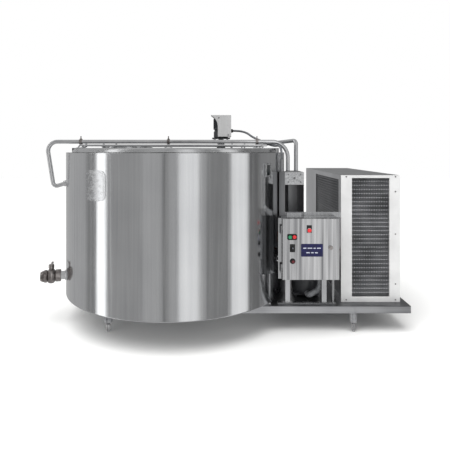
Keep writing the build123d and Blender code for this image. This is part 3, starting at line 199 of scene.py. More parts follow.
def lamp(name, place, target, size, watts):
    """A square soft light that faces its target."""
    data = bpy.data.lights.new(name, "AREA")
    data.size = size
    data.energy = watts
    light = bpy.data.objects.new(name, data)
    light.location = place
    light.rotation_euler = (Vector(target) - Vector(place)).to_track_quat("-Z", "Y").to_euler()
    light.visible_glossy = False
    light.visible_camera = False
    bpy.context.scene.collection.objects.link(light)
    return light


sun_data = bpy.data.lights.new("high_window", "SUN")
sun_data.energy = 2.2
sun_data.angle = radians(50)
sun = bpy.data.objects.new("high_window", sun_data)
sun.rotation_euler = Vector((-0.25, -0.35, 1.0)).to_track_quat("Z", "Y").to_euler()
sun.visible_glossy = False
bpy.context.scene.collection.objects.link(sun)
lamp("overhead", (0.2, -0.6, 5.0), (0.1, 0.0, 0.4), 5.0, 60.0)
lamp("front_left", (-3.4, -4.2, 3.0), (0.0, 0.0, 0.6), 2.6, 50.0)
lamp("front_right", (3.8, -3.6, 2.6), (0.6, 0.0, 0.6), 2.4, 30.0)
print("lights:", len(bpy.data.lights))

# %% [markdown]
# ## Shaping helpers
# Turned pieces come from a half outline spun about an axis, bent pieces from a section drawn
# along a path, and folded sheet from the frame's own solids with their corners merged and
# their edges broken. Each helper works on a mesh that is still being edited, in millimetres.
# Modifiers could shape some of these pieces too. Building the mesh directly keeps every
# radius a plain number, and the one modifier that is left only rounds the sharp edges.

# %% Paths and outlines


def rounded(points, radii, steps=8):
    """A path whose inner corners are replaced by arcs."""
    points = [Vector(p) for p in points]
    path = [points[0]]
    for before, here, after, radius in zip(points, points[1:], points[2:], radii):
        a, b = (before - here).normalized(), (after - here).normalized()
        half = a.angle(b) / 2
        reach = radius / max(1e-6, sin(half) / cos(half))
        centre = here + (a + b).normalized() * (radius / sin(half))
        start, end = here + a * reach - centre, here + b * reach - centre
        turn = start.angle(end)
        for step in range(steps + 1):
            t = step / steps
            path.append(centre + (start * sin((1 - t) * turn) + end * sin(t * turn)) / sin(turn))
    path.append(points[-1])
    return path


def lathe(bm, profile, steps=64, place=Matrix(), closed=False):
    """Spins (radius, height) points about Z. A point on the axis closes the shape there."""
    rings = []
    for radius, height in profile:
        count = 1 if radius < 1e-6 else steps
        angles = [2 * pi * i / steps for i in range(count)]
        rings.append([bm.verts.new(place @ Vector((radius * cos(a), radius * sin(a), height)))
                      for a in angles])
    pairs = list(zip(rings, rings[1:]))
    if closed:
        pairs.append((rings[-1], rings[0]))
    for low, high in pairs:
        for i in range(steps):
            j = (i + 1) % steps
            corners = [low[i % len(low)], low[j % len(low)], high[j % len(high)], high[i % len(high)]]
            face = [v for k, v in enumerate(corners) if v not in corners[:k]]
            if len(face) > 2:
                bm.faces.new(face)


def sweep(bm, path, radius, sides=24, scale=None):
    """A round bar along a path, capped at both ends. scale(i) may swell the section."""
    path = [Vector(p) for p in path]
    kept = [path[0]]
    for point in path[1:]:
        if (point - kept[-1]).length > 1e-3:
            kept.append(point)
    path = kept
    tangents = [(b - a).normalized() for a, b in zip(path, path[1:])]
    tangents = [tangents[0]] + [(a + b).normalized() for a, b in zip(tangents, tangents[1:])] + [tangents[-1]]
    side = tangents[0].orthogonal().normalized()
    rings = []
    for number, (point, way) in enumerate(zip(path, tangents)):
        side = (side - way * side.dot(way)).normalized()
        up = way.cross(side)
        r = radius * (scale(number) if scale else 1)
        rings.append([bm.verts.new(point + (side * cos(2 * pi * k / sides)
                                            + up * sin(2 * pi * k / sides)) * r)
                      for k in range(sides)])
    for low, high in zip(rings, rings[1:]):
        for k in range(sides):
            bm.faces.new((low[k], low[(k + 1) % sides], high[(k + 1) % sides], high[k]))
    bm.faces.new(list(reversed(rings[0])))
    bm.faces.new(rings[-1])


def slab(bm, x0, x1, y0, y1, z0, z1, place=Matrix()):
    """A block between two corners, to be given broken edges later."""
    made = bmesh.ops.create_cube(bm, size=1.0)["verts"]
    for v in made:
        x, y, z = v.co
        v.co = place @ Vector((x0 + (x + 0.5) * (x1 - x0), y0 + (y + 0.5) * (y1 - y0),
                               z0 + (z + 0.5) * (z1 - z0)))
    return made


def plate(bm, outline, thickness, place):
    """A flat plate from an outline of (x, y) points, raised along its own Z."""
    low = [bm.verts.new(place @ Vector((x, y, 0))) for x, y in outline]
    high = [bm.verts.new(place @ Vector((x, y, thickness))) for x, y in outline]
    bm.faces.new(list(reversed(low)))
    bm.faces.new(high)
    count = len(low)
    for i in range(count):
        bm.faces.new((low[i], low[(i + 1) % count], high[(i + 1) % count], high[i]))


def round_rect(w, h, r, steps=6):
    """Outline of a rectangle with round corners, about its middle."""
    outline = []
    for cx, cy, start in ((w / 2 - r, h / 2 - r, 0), (-w / 2 + r, h / 2 - r, 90),
                          (-w / 2 + r, -h / 2 + r, 180), (w / 2 - r, -h / 2 + r, 270)):
        for k in range(steps + 1):
            a = radians(start + 90 * k / steps)
            outline.append((cx + r * cos(a), cy + r * sin(a)))
    return outline


def facing(x, y, z, way):
    """A place at a point whose own Z looks along way, and whose own Y is as upright as it can be."""
    forward = Vector(way).normalized()
    up = Vector((0, 0, 1)) if abs(forward.z) < 0.9 else Vector((0, 1, 0))
    right = up.cross(forward).normalized()
    up = forward.cross(right)
    turn = Matrix((right, up, forward)).transposed().to_4x4()
    return Matrix.Translation((x, y, z)) @ turn


print("shaping helpers ready")

# %% Turning a mesh into a finished piece


def crease(bm, angle):
    """Soft shading on every face, and a hard line wherever the surface turns by more than angle."""
    for face in bm.faces:
        face.smooth = True
    for edge in bm.edges:
        edge.smooth = len(edge.link_faces) == 2 and edge.calc_face_angle(0) < radians(angle)


def dress(name, mesh, material, body, nodes, bevel=0.0):
    """Links a mesh as a piece: its finish, its body, and the frame nodes that it stands for."""
    piece = bpy.data.objects.new(name, mesh)
    bpy.context.scene.collection.objects.link(piece)
    if not mesh.materials:
        mesh.materials.append(material)
    if bevel:
        edge = piece.modifiers.new("broken edge", "BEVEL")
        edge.width = bevel / 1000
        edge.segments = 2
        edge.limit_method = "ANGLE"
        edge.angle_limit = radians(40)
        edge.harden_normals = False
    even = piece.modifiers.new("even shading", "WEIGHTED_NORMAL")
    even.keep_sharp = True
    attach(piece, body)
    if nodes:
        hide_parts(*nodes)
    return piece


def finished(name, bm, material, body="tank", nodes=(), angle=35, bevel=0.0,
             outwards=True):
    """A new piece from an edited mesh in millimetres."""
    bmesh.ops.remove_doubles(bm, verts=bm.verts, dist=0.002)
    if outwards:
        bmesh.ops.recalc_face_normals(bm, faces=bm.faces)
    bm.transform(TO_FRAME)
    crease(bm, angle)
    mesh = bpy.data.meshes.new(name)
    bm.to_mesh(mesh)
    bm.free()
    return dress(name, mesh, material, body, nodes, bevel)


BODY_OF = {node: body for body, nodes in frame["record"]["behaviour"]["bodies"].items() for node in nodes}


def refined(node, material, bevel=0.0, angle=35):
    """A clean copy of a frame node: corners merged, flats joined up, edges broken."""
    bm = bmesh.new()
    bm.from_mesh(frame["nodes"][node].data)
    bmesh.ops.remove_doubles(bm, verts=bm.verts, dist=2e-6)
    flat = radians(0.5)
    bmesh.ops.dissolve_limit(bm, angle_limit=flat, verts=bm.verts, edges=bm.edges)
    crease(bm, angle)
    mesh = bpy.data.meshes.new(node)
    bm.to_mesh(mesh)
    bm.free()
    return dress(node + "_finished", mesh, material, BODY_OF[node], [node], bevel)


# %% [markdown]
# ## Repeats by Geometry Nodes
# Screws, slats, fins and ribs are the same piece many times over. One tree sets a piece out
# in a row, a second puts a piece on given points, and both end in plain geometry. A loop that
# copies objects would do as well, but a tree has its count, step and seed as named inputs.

# %% The two trees


def socket(tree, name, kind, value=None):
    made = tree.interface.new_socket(name=name, in_out="INPUT", socket_type=kind)
    if value is not None:
        made.default_value = value


def row_tree():
    tree = bpy.data.node_groups.new("row of pieces", "GeometryNodeTree")
    tree.interface.new_socket(name="Geometry", in_out="OUTPUT", socket_type="NodeSocketGeometry")
    socket(tree, "Piece", "NodeSocketObject")
    socket(tree, "Count", "NodeSocketInt", 2)
    socket(tree, "Start", "NodeSocketVector")
    socket(tree, "Step", "NodeSocketVector")
    socket(tree, "Finish", "NodeSocketMaterial")
    given = add(tree, "NodeGroupInput").outputs
    line = add(tree, "GeometryNodeMeshLine", {"Count": given["Count"], "Start Location": given["Start"],
                                              "Offset": given["Step"]}, mode="OFFSET")
    piece = add(tree, "GeometryNodeObjectInfo", {"Object": given["Piece"]})
    copies = add(tree, "GeometryNodeInstanceOnPoints", {"Points": line.outputs["Mesh"],
                                                        "Instance": piece.outputs["Geometry"]})
    real = add(tree, "GeometryNodeRealizeInstances", {"Geometry": copies.outputs[0]})
    painted = add(tree, "GeometryNodeSetMaterial", {"Geometry": real.outputs[0], "Material": given["Finish"]})
    add(tree, "NodeGroupOutput", {0: painted.outputs[0]})
    return tree


def spots_tree():
    tree = bpy.data.node_groups.new("piece on every point", "GeometryNodeTree")
    tree.interface.new_socket(name="Geometry", in_out="OUTPUT", socket_type="NodeSocketGeometry")
    socket(tree, "Points", "NodeSocketGeometry")
    socket(tree, "Piece", "NodeSocketObject")
    socket(tree, "Size", "NodeSocketFloat", 1.0)
    socket(tree, "Most turn", "NodeSocketFloat", 0.0)
    socket(tree, "Seed", "NodeSocketInt", 4)
    socket(tree, "Way", "NodeSocketVector", (0, 0, 1))
    socket(tree, "Finish", "NodeSocketMaterial")
    given = add(tree, "NodeGroupInput").outputs
    piece = add(tree, "GeometryNodeObjectInfo", {"Object": given["Piece"]})
    spin = add(tree, "FunctionNodeRandomValue", {2: 0.0, 3: given["Most turn"], "Seed": given["Seed"]},
               data_type="FLOAT")
    copies = add(tree, "GeometryNodeInstanceOnPoints", {"Points": given["Points"], "Scale": given["Size"],
                                                        "Instance": piece.outputs["Geometry"]})
    turned = add(tree, "FunctionNodeAxisAngleToRotation", {"Axis": given["Way"], "Angle": spin.outputs[1]})
    loose = add(tree, "GeometryNodeRotateInstances", {"Instances": copies.outputs[0],
                                                      "Rotation": turned.outputs[0]})
    real = add(tree, "GeometryNodeRealizeInstances", {"Geometry": loose.outputs[0]})
    painted = add(tree, "GeometryNodeSetMaterial", {"Geometry": real.outputs[0], "Material": given["Finish"]})
    add(tree, "NodeGroupOutput", {0: painted.outputs[0]})
    return tree


ROW, SPOTS = row_tree(), spots_tree()


def template(name, bm, angle=35):
    """A piece drawn about the origin in millimetres, to be repeated by a tree."""
    bmesh.ops.remove_doubles(bm, verts=bm.verts, dist=0.002)
    bmesh.ops.recalc_face_normals(bm, faces=bm.faces)
    bmesh.ops.scale(bm, vec=(0.001, 0.001, 0.001), verts=bm.verts)
    crease(bm, angle)
    mesh = bpy.data.meshes.new(name)
    bm.to_mesh(mesh)
    bm.free()
    piece = bpy.data.objects.new(name, mesh)
    bpy.context.scene.collection.objects.link(piece)
    return piece


def grown(name, tree, points=(), **values):
    """Runs a tree once and keeps its result as a plain mesh."""
    mesh = bpy.data.meshes.new(name)
    mesh.from_pydata([mm(*p) for p in points], [], [])
    host = bpy.data.objects.new(name, mesh)
    bpy.context.scene.collection.objects.link(host)
    modifier = host.modifiers.new(name, "NODES")
    modifier.node_group = tree
    for item in tree.interface.items_tree:
        key = item.name.replace(" ", "_")
        if item.in_out == "INPUT" and key in values:
            modifier[item.identifier] = values[key]
    graph = bpy.context.evaluated_depsgraph_get()
    result = bpy.data.meshes.new_from_object(host.evaluated_get(graph), depsgraph=graph)
    result.name = name
    host.modifiers.remove(modifier)
    bpy.data.objects.remove(host)
    print(name, "faces:", len(result.polygons))
    return result


print("trees:", ROW.name, "/", SPOTS.name)

# %% [markdown]
# ## Finishes
# Nearly everything here is stainless steel, but each sheet has been worked in its own way.
# A brushed sheet has long fine scratches, which a stretched noise gives. The real ones are a
# twentieth of a millimetre wide; they are drawn about a millimetre wide so that they show.

# %% Base of every finish


def finish(name, colour, metallic, roughness, **sockets):
    """A material with its plain values, its node tree, its shader and object coordinates."""
    material = bpy.data.materials.new(name)
    material.use_nodes = True
    tree = material.node_tree
    shader = tree.nodes["Principled BSDF"]
    shader.inputs["Base Color"].default_value = linear(colour)
    shader.inputs["Metallic"].default_value = metallic
    shader.inputs["Roughness"].default_value = roughness
    for key, value in sockets.items():
        shader.inputs[key.replace("_", " ")].default_value = value
    place = add(tree, "ShaderNodeTexCoord").outputs["Object"]
    return material, tree, shader, place


def per_metre(width):
    """Noise scale whose features are about width millimetres across."""
    return 1000.0 / (2.0 * width)


print("finish helpers ready")

# %% Steel finishes
ALONG_Z, ALONG_X, ALONG_Y = (1, 1, 220), (220, 1, 1), (1, 220, 1)


def brushed(name, dark, light, roughness, spread, grain=ALONG_Z, scratch=0.9, wave=0.0, aniso=0.0,
            depth=0.015, sway_size=420.0, sway_grain=(1, 1, 1)):
    """Sheet steel drawn past an abrasive belt, which leaves scratches in one direction."""
    material, tree, shader, place = finish(name, light, 1.0, roughness, Anisotropic=aniso)
    thin = add(tree, "ShaderNodeMapping", {"Vector": place, "Scale": [1 / g for g in grain]})
    lines = add(tree, "ShaderNodeTexNoise", {"Vector": thin.outputs[0], "Scale": per_metre(scratch),
                                             "Detail": 3.0})
    smear = [1 / (1 + (g - 1) * 0.2) for g in grain]
    wide = add(tree, "ShaderNodeMapping", {"Vector": place, "Scale": smear})
    broad = add(tree, "ShaderNodeTexNoise", {"Vector": wide.outputs[0], "Scale": per_metre(9.0)})
    # the cloud below drifts the tone; stretched upright, as on the panel sheet, its bands are painted
    # reflection in the colour, and the same stretch shapes the slow bow of the bump
    drawn = add(tree, "ShaderNodeMapping", {"Vector": place, "Scale": [1 / g for g in sway_grain]})
    cloud = add(tree, "ShaderNodeTexNoise", {"Vector": drawn.outputs[0], "Scale": per_metre(160.0)})
    streak = add(tree, "ShaderNodeMath", {0: lines.outputs["Fac"], 1: broad.outputs["Fac"]}, operation="ADD")
    gloss = add(tree, "ShaderNodeMapRange", {"Value": streak.outputs[0], "From Min": 0.75, "From Max": 1.25,
                                             "To Min": roughness - spread, "To Max": roughness + spread})
    mixed = add(tree, "ShaderNodeMath", {0: broad.outputs["Fac"], 1: cloud.outputs["Fac"]}, operation="ADD")
    share = add(tree, "ShaderNodeMapRange", {"Value": mixed.outputs[0], "From Min": 0.7, "From Max": 1.3})
    tone = add(tree, "ShaderNodeMix", {0: share.outputs[0], 6: linear(dark), 7: linear(light)},
               data_type="RGBA")
    relief = add(tree, "ShaderNodeBump", {"Height": lines.outputs["Fac"], "Strength": 0.25,
                                          "Distance": depth / 1000})
    if wave:
        sway = add(tree, "ShaderNodeTexNoise", {"Vector": drawn.outputs[0], "Scale": per_metre(sway_size),
                                                "Detail": 1.0})
        relief = add(tree, "ShaderNodeBump", {"Height": sway.outputs["Fac"], "Distance": wave / 1000,
                                              "Normal": relief.outputs[0]})
    tree.links.new(tone.outputs[2], shader.inputs["Base Color"])
    tree.links.new(gloss.outputs[0], shader.inputs["Roughness"])
    tree.links.new(relief.outputs[0], shader.inputs["Normal"])
    return material


# AISI 304 sheet, belt brushed upright after rolling: soft upright smears, clear broad bands
jacket_steel = brushed("brushed 304 sheet, upright grain", "#c3c4c6", "#d2d3d4", 0.13, 0.04, wave=0.6,
                       aniso=0.35)
# the same sheet with its grain along the lids and bridge: a satin sheen that runs from left to right
lid_steel = brushed("brushed 304 sheet, long grain", "#bfc0c2", "#d0d1d2", 0.24, 0.06, grain=ALONG_X)
# cold rolled 2B sheet inside the vessel: cloudy and even, hardly any grain
vessel_steel = brushed("2B cold rolled 304 sheet", "#c4c5c7", "#d2d3d4", 0.28, 0.05, scratch=3.0,
                       grain=(1, 1, 6))
# panel sheet: a fine upright grain, a slow bow in the bump, and broad upright bands of painted reflection in
# its tone, from dark grey to near white
panel_steel = brushed("satin brushed 304 panel sheet", "#67686a", "#d8d8d9", 0.17, 0.04, scratch=0.7,
                      wave=7.0, sway_size=190.0, sway_grain=(1, 1, 60))
# pickled profiles of the skid: dull, patchy grey with long rolling marks
skid_steel = brushed("pickled 304 profile", "#85868a", "#c2c3c5", 0.36, 0.1, grain=ALONG_X)
# worn sheet of the deck: darker and duller than the beams, from feet and tools
deck_steel = brushed("worn 304 deck sheet", "#6c6d70", "#8d8e90", 0.42, 0.08, grain=ALONG_X)
# straight posts under the panel: bright drawn edges that catch the light along their length
post_steel = brushed("drawn 304 post", "#98999b", "#bcbdbe", 0.26, 0.06)
# motor hood: a pale satin sheet that scatters the overhead light, nearly white
hood_steel = brushed("satin 304 hood sheet", "#e4e4e4", "#f6f6f6", 0.42, 0.05, scratch=0.8)
# connection box: a dull dark sheet, open in front, that keeps its inside in shade
box_steel = brushed("dull 304 box sheet", "#9c9d9f", "#b4b5b7", 0.45, 0.06)
# mill finish sheet of the cabinet: plain and a little cloudy, between white face and dark louvre
cabinet_steel = brushed("mill finish 304 sheet", "#a3a4a6", "#bfc0c2", 0.36, 0.07, scratch=1.2)
# the same sheet on the slats, darker and duller than the cabinet sheet
slat_steel = brushed("dusty 304 slat", "#5d5e61", "#77787b", 0.48, 0.08, grain=ALONG_Y)
# drawn and polished dairy tube: nearly a mirror, with thin bright lines along its length
tube_steel = brushed("polished dairy tube", "#c9cacc", "#dadadb", 0.13, 0.04, scratch=1.6,
                     grain=(6, 6, 6), depth=0.006)
print("steels:", len([m for m in bpy.data.materials if "304" in m.name]))

# %% [markdown]
# Everything that isn't plain sheet shares one recipe. Slow blotches shift the tone and the gloss
# a little, as dust, stains and handling do, and a fine grain stands in relief. Only the sizes
# differ: a cast iron skin is coarse, an enamel is smooth, moulded nylon is in between.

# %% Cast, plated and painted finishes


def mottled(name, dark, light, metallic, roughness, blotch, uneven, grain, depth, **sockets):
    """A finish whose tone and gloss drift in blotches, with a fine grain in relief."""
    material, tree, shader, place = finish(name, light, metallic, roughness, **sockets)
    drift = add(tree, "ShaderNodeTexNoise", {"Vector": place, "Scale": per_metre(blotch), "Detail": 3.0})
    share = add(tree, "ShaderNodeMapRange", {"Value": drift.outputs["Fac"], "From Min": 0.35,
                                             "From Max": 0.65})
    tone = add(tree, "ShaderNodeMix", {0: share.outputs[0], 6: linear(dark), 7: linear(light)},
               data_type="RGBA")
    gloss = add(tree, "ShaderNodeMapRange", {"Value": share.outputs[0], "To Min": roughness - uneven,
                                             "To Max": roughness + uneven})
    bumps = add(tree, "ShaderNodeTexNoise", {"Vector": place, "Scale": per_metre(grain), "Detail": 2.0})
    relief = add(tree, "ShaderNodeBump", {"Height": bumps.outputs["Fac"], "Strength": 0.35,
                                          "Distance": depth / 1000})
    tree.links.new(tone.outputs[2], shader.inputs["Base Color"])
    tree.links.new(gloss.outputs[0], shader.inputs["Roughness"])
    tree.links.new(relief.outputs[0], shader.inputs["Normal"])
    return material


def plated(name, dark, light, roughness):
    """Bright fittings: nearly a mirror, with faint stains where hands and milk have been."""
    return mottled(name, dark, light, 1.0, roughness, 14.0, 0.06, 1.5, 0.02)


def coated(name, dark, light, roughness, orange_peel=0.04, peel_size=1.6):
    """Paint or enamel on metal: an even colour with slight orange peel, dulled by dust in places."""
    return mottled(name, dark, light, 0.0, roughness, 70.0, 0.07, peel_size, orange_peel)


def moulded(name, dark, light, roughness, grain=0.5, depth=0.02, **sockets):
    """Moulded plastic or rubber: a fine tool texture and a slight change of tone."""
    return mottled(name, dark, light, 0.0, roughness, 12.0, 0.045, grain, depth, **sockets)


# polished and handled outlet fittings: a base colour far darker and warmer than the sheet behind them,
# painted dark reflection
fitting_chrome = plated("polished stainless fitting", "#746e6c", "#a8a3a1", 0.12)
# turned screw heads and rings: small bright glints
bolt_steel = plated("turned A2 screw steel", "#9a9a9b", "#c6c6c7", 0.22)
# dome screws on the enamel face: grey dots against the off-white
screw_grey = plated("dulled zinc screw", "#6f6f70", "#939394", 0.34)
# off-white stove enamel on the condenser's face: flat, even and half matt
face_enamel = coated("off-white stove enamel", "#cdcdcd", "#d9d9d9", 0.4)
# gear motor housing under grey machine paint: coarse skin, dull sheen on the edges
machine_grey = coated("grey paint on cast iron", "#2b2d30", "#3a3d40", 0.45, 0.15, 2.4)
# compressor shell: black satin paint gone grey with dust, one soft highlight
compressor_black = coated("dusty black compressor paint", "#36373a", "#515256", 0.4, 0.06)
# fan blades and shroud: matt black with a gritty powder coat
fan_black = coated("black powder coat", "#1c1c1e", "#2a2a2c", 0.5, 0.08, 0.8)
# aluminium fins dulled by dust: a mid grey field that the tubes stripe
fin_metal = coated("dusty aluminium fin stock", "#5f6062", "#86878a", 0.5, 0.02)
# collars where the tubes pass through the fins: rows of small pale dashes
fin_edge = plated("bright aluminium fin collar", "#97989a", "#bdbec0", 0.38)
# copper lines: brown red with a soft metal sheen
copper = plated("drawn copper tube", "#8a5236", "#b87552", 0.3)
print("coated and plated finishes ready")

# %% Plastic and rubber finishes
# switch bodies and plates: black with a fine grain that scatters the light
control_black = moulded("black glass-filled nylon", "#0c0c0d", "#191a1b", 0.42)
# lid gasket: dull black line under the lids' edges
gasket_rubber = moulded("black EPDM rubber", "#121212", "#1f1f1f", 0.62)
# motor cable: mid grey with a soft plastic sheen
cable_grey = moulded("grey flexible PVC", "#55575a", "#6a6c70", 0.5)
# ribbed hose: light grey ribs with darker grooves between them
conduit_grey = moulded("grey PVC conduit", "#77797c", "#97999c", 0.45)
# pilot lamp: clear saturated red under a glossy skin
lens_red = moulded("red polycarbonate lens", "#b00d12", "#e0252a", 0.18, Coat_Weight=0.6)
# stop button: opaque red with a duller shine
cap_red = moulded("red ABS button", "#b8161c", "#d8262c", 0.28, Coat_Weight=0.3)
# start button: bluish green, as glossy as the stop button
cap_green = moulded("green ABS button", "#0c6a44", "#12885a", 0.28, Coat_Weight=0.3)
# name plate: dark navy laminate, half matt
plate_blue = moulded("blue engraved laminate", "#07083a", "#0f1150", 0.5)
# the laminate's core where it is engraved, and the selector's mark: soft bluish white
plate_white = moulded("white laminate core", "#aeb2c2", "#c6cad6", 0.4)
# relays behind the door: pale warm grey, matt
relay_grey = moulded("light grey polyamide", "#b2b4b4", "#c6c8c8", 0.45)
# knob's cap: dark wine red
knob_red = moulded("dark red thermoplastic", "#4a0f16", "#6a1820", 0.35)
# thermometer's window: near black behind a hard gloss
display_dark = moulded("tinted display window", "#0d1112", "#182022", 0.12, Coat_Weight=1.0)
print("materials:", len(bpy.data.materials))

# %% Galvanised plate and foam
# hot-dip zinc on the connection box's cover: flat spangles, each with its own grey and gloss
galvanised, tree, shader, place = finish("galvanised cover plate", "#cfd0d1", 1.0, 0.4)
spangle = add(tree, "ShaderNodeTexVoronoi", {"Vector": place, "Scale": per_metre(4.0)})
level = add(tree, "ShaderNodeSeparateColor", {0: spangle.outputs["Color"]})
tone = add(tree, "ShaderNodeMix", {0: level.outputs[0], 6: linear("#a4a5a7"), 7: linear("#dcddde")},
           data_type="RGBA")
gloss = add(tree, "ShaderNodeMapRange", {"Value": level.outputs[0], "To Min": 0.32, "To Max": 0.5})
tree.links.new(tone.outputs[2], shader.inputs["Base Color"])
tree.links.new(gloss.outputs[0], shader.inputs["Roughness"])
# rigid foam between jacket and vessel: matt straw yellow with open pores
foam_yellow, tree, shader, place = finish("rigid polyurethane foam", "#d8c48a", 0.0, 0.9)
pores = add(tree, "ShaderNodeTexNoise", {"Vector": place, "Scale": per_metre(2.0), "Detail": 3.0})
tone = add(tree, "ShaderNodeMix", {0: pores.outputs["Fac"], 6: linear("#b8a266"), 7: linear("#e6d6a4")},
           data_type="RGBA")
relief = add(tree, "ShaderNodeBump", {"Height": pores.outputs["Fac"], "Strength": 0.6, "Distance": 0.0004})
tree.links.new(tone.outputs[2], shader.inputs["Base Color"])
tree.links.new(relief.outputs[0], shader.inputs["Normal"])
print("galvanised and foam ready")

# %% [markdown]
# ## The motor's cable
# The cable leaves the hood's gland, sags behind the front pipe and drops into the box's stub.
# It is a smooth spline whose control points are the route of the measured model. A cable could
# be swept as a mesh like the pipes, but a spline with a round bevel can still be bent later.

# %% Motor cable
CABLE_R = 7.0
STUB = (673.3, -316.0)
GLAND_END, GLAND_Z = 379.3, 1221.0
CABLE_POINTS = [
    (GLAND_END, 0, GLAND_Z), (410, 0, 1221), (447, -13, 1215), (477, -43, 1202), (496, -91, 1183),
    (520, -126, 1167), (550, -149, 1153), (580, -161, 1139), (606, -173, 1126), (629, -191, 1117),
    (649, -214, 1115), (662, -242, 1117), (669, -274, 1110), (672, -301, 1091),
    (STUB[0], STUB[1], 1062), (STUB[0], STUB[1], 1010)]
cable_curve = bpy.data.curves.new("motor_cable", "CURVE")
cable_curve.dimensions = "3D"
cable_curve.bevel_depth = CABLE_R / 1000
cable_curve.bevel_resolution = 5
cable_curve.resolution_u = 8
cable_curve.use_fill_caps = True
spline = cable_curve.splines.new("NURBS")
spline.points.add(len(CABLE_POINTS) - 1)
for point, place in zip(spline.points, CABLE_POINTS):
    point.co = (*mm(*place), 1.0)
spline.order_u = 3
spline.use_endpoint_u = True
cable_curve.materials.append(cable_grey)
motor_cable = bpy.data.objects.new("motor_cable_spline", cable_curve)
bpy.context.scene.collection.objects.link(motor_cable)
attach(motor_cable, "tank")
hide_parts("motor_cable")
print("cable points:", len(CABLE_POINTS))

# %% [markdown]
# ## The jacket
# The jacket is one wrapped sheet with a turned-in top and bottom. Spinning its section gives a
# truly round wall, which matters because a mirror shows every facet. The sheet's joints are
# three thin raised weld lines, laid on as separate strips.

# %% Jacket
JACKET_STEPS = 256


def jacket():
    bm = bmesh.new()
    inner = [(0, BASE_Z + 3), (R - 2, BASE_Z + 3), (R - 2, RIM_Z - 0.5)]
    corner = rounded([(0, 0, BASE_Z), (R, 0, BASE_Z), (R, 0, RIM_Z)], [7.0], 6)[1:]
    lip = rounded([(R, 0, RIM_Z - 9), (R, 0, RIM_Z), (R - 2, 0, RIM_Z)], [1.5], 3)
    outside = [(p.x, p.z) for p in reversed(corner[:-1] + lip)]
    lathe(bm, inner + outside + [(0, BASE_Z)], JACKET_STEPS)
    for angle in (40.0, 130.0, 220.0):
        a = radians(angle)
        seam = facing((R + 0.05) * cos(a), (R + 0.05) * sin(a), 0, (cos(a), sin(a), 0))
        plate(bm, [(-2.4, BASE_Z + 9), (2.4, BASE_Z + 9), (2.4, RIM_Z - 4), (-2.4, RIM_Z - 4)], 0.25, seam)
    return finished("jacket_shell", bm, jacket_steel, nodes=["outer_jacket"],
                    angle=50)


def socket_piece(name, mouth, way, radius):
    """A welded socket with a broken edge at its mouth."""
    bm = bmesh.new()
    place = facing(*mouth, way)
    lathe(bm, [(0, -52), (radius, -52), (radius, -1.5), (radius - 1.5, 0), (0, 0)], 48, place)
    return finished(name, bm, tube_steel)


jacket()
CIP_MOUTH = (-711.0, PIPE_Y, 872.0)
PIPE_FOOT = (-778.0, PIPE_Y, 852.0)
CIP_WAY = (PIPE_FOOT[0] - CIP_MOUTH[0], 0.0, PIPE_FOOT[2] - CIP_MOUTH[2])
SUCTION_MOUTH = (sqrt(R ** 2 - 318.0 ** 2) + 21.0, -318.0, 420.0)
LIQUID_MOUTH = (sqrt(R ** 2 - 300.0 ** 2) + 21.0, -300.0, 470.0)
socket_piece("cleaning_socket", CIP_MOUTH, CIP_WAY, PIPE_R + 6)
socket_piece("suction_socket", SUCTION_MOUTH, (1, 0, 0), 23.0)
socket_piece("liquid_socket", LIQUID_MOUTH, (1, 0, 0), 10.0)
print("jacket radius", R, "mm,", JACKET_STEPS, "steps round")

# %% [markdown]
# ## Lids
# Each half lid is a slice of a shallow dome. It is spun as a whole skin, cut straight along the
# hinge side, given a flange there, and only then thickened. Two arms carry it on its rod.

# %% Half lids
LID_EDGE_Y = -238.0
FLANGE_REACH = 606.0
ARM_X, ARM_T, EYE_R, ROD_R = 560.0, 9.0, 12.0, 6.5


def lid_shell(side):
    bm = bmesh.new()
    edge = rounded([(LID_R - 60, 0, LID_TOP + 0.6), (LID_R - 9, 0, LID_TOP - 1.5), (LID_R, 0, LID_Z0)],
                   [13.0], 8)
    profile = [(0, LID_TOP + LID_CROWN)]
    profile += [(r, LID_TOP + LID_CROWN * (1 - r / (LID_R - 60))) for r in range(80, 620, 90)]
    profile += [(p.x, p.z) for p in edge]
    lathe(bm, profile, 240)
    cut = bmesh.ops.bisect_plane(bm, geom=bm.verts[:] + bm.edges[:] + bm.faces[:],
                                 plane_co=(0, LID_EDGE_Y, 0),
                                 plane_no=(0, 1, 0), clear_outer=True)
    rim = [e for e in cut["geom_cut"] if isinstance(e, bmesh.types.BMEdge)
           and max(abs(v.co.x) for v in e.verts) < FLANGE_REACH]
    grown_rim = bmesh.ops.extrude_edge_only(bm, edges=rim)["geom"]
    for v in grown_rim:
        if isinstance(v, bmesh.types.BMVert):
            v.co.z = LID_Z0 + 8
    bmesh.ops.recalc_face_normals(bm, faces=bm.faces)
    top = max(bm.faces, key=lambda f: f.calc_center_median().z)
    if top.normal.z < 0:
        bmesh.ops.reverse_faces(bm, faces=bm.faces)
    bmesh.ops.solidify(bm, geom=bm.faces[:], thickness=LID_T)
    if side > 0:
        bmesh.ops.scale(bm, vec=(1, -1, 1), verts=bm.verts)
        bmesh.ops.reverse_faces(bm, faces=bm.faces)
    return bm


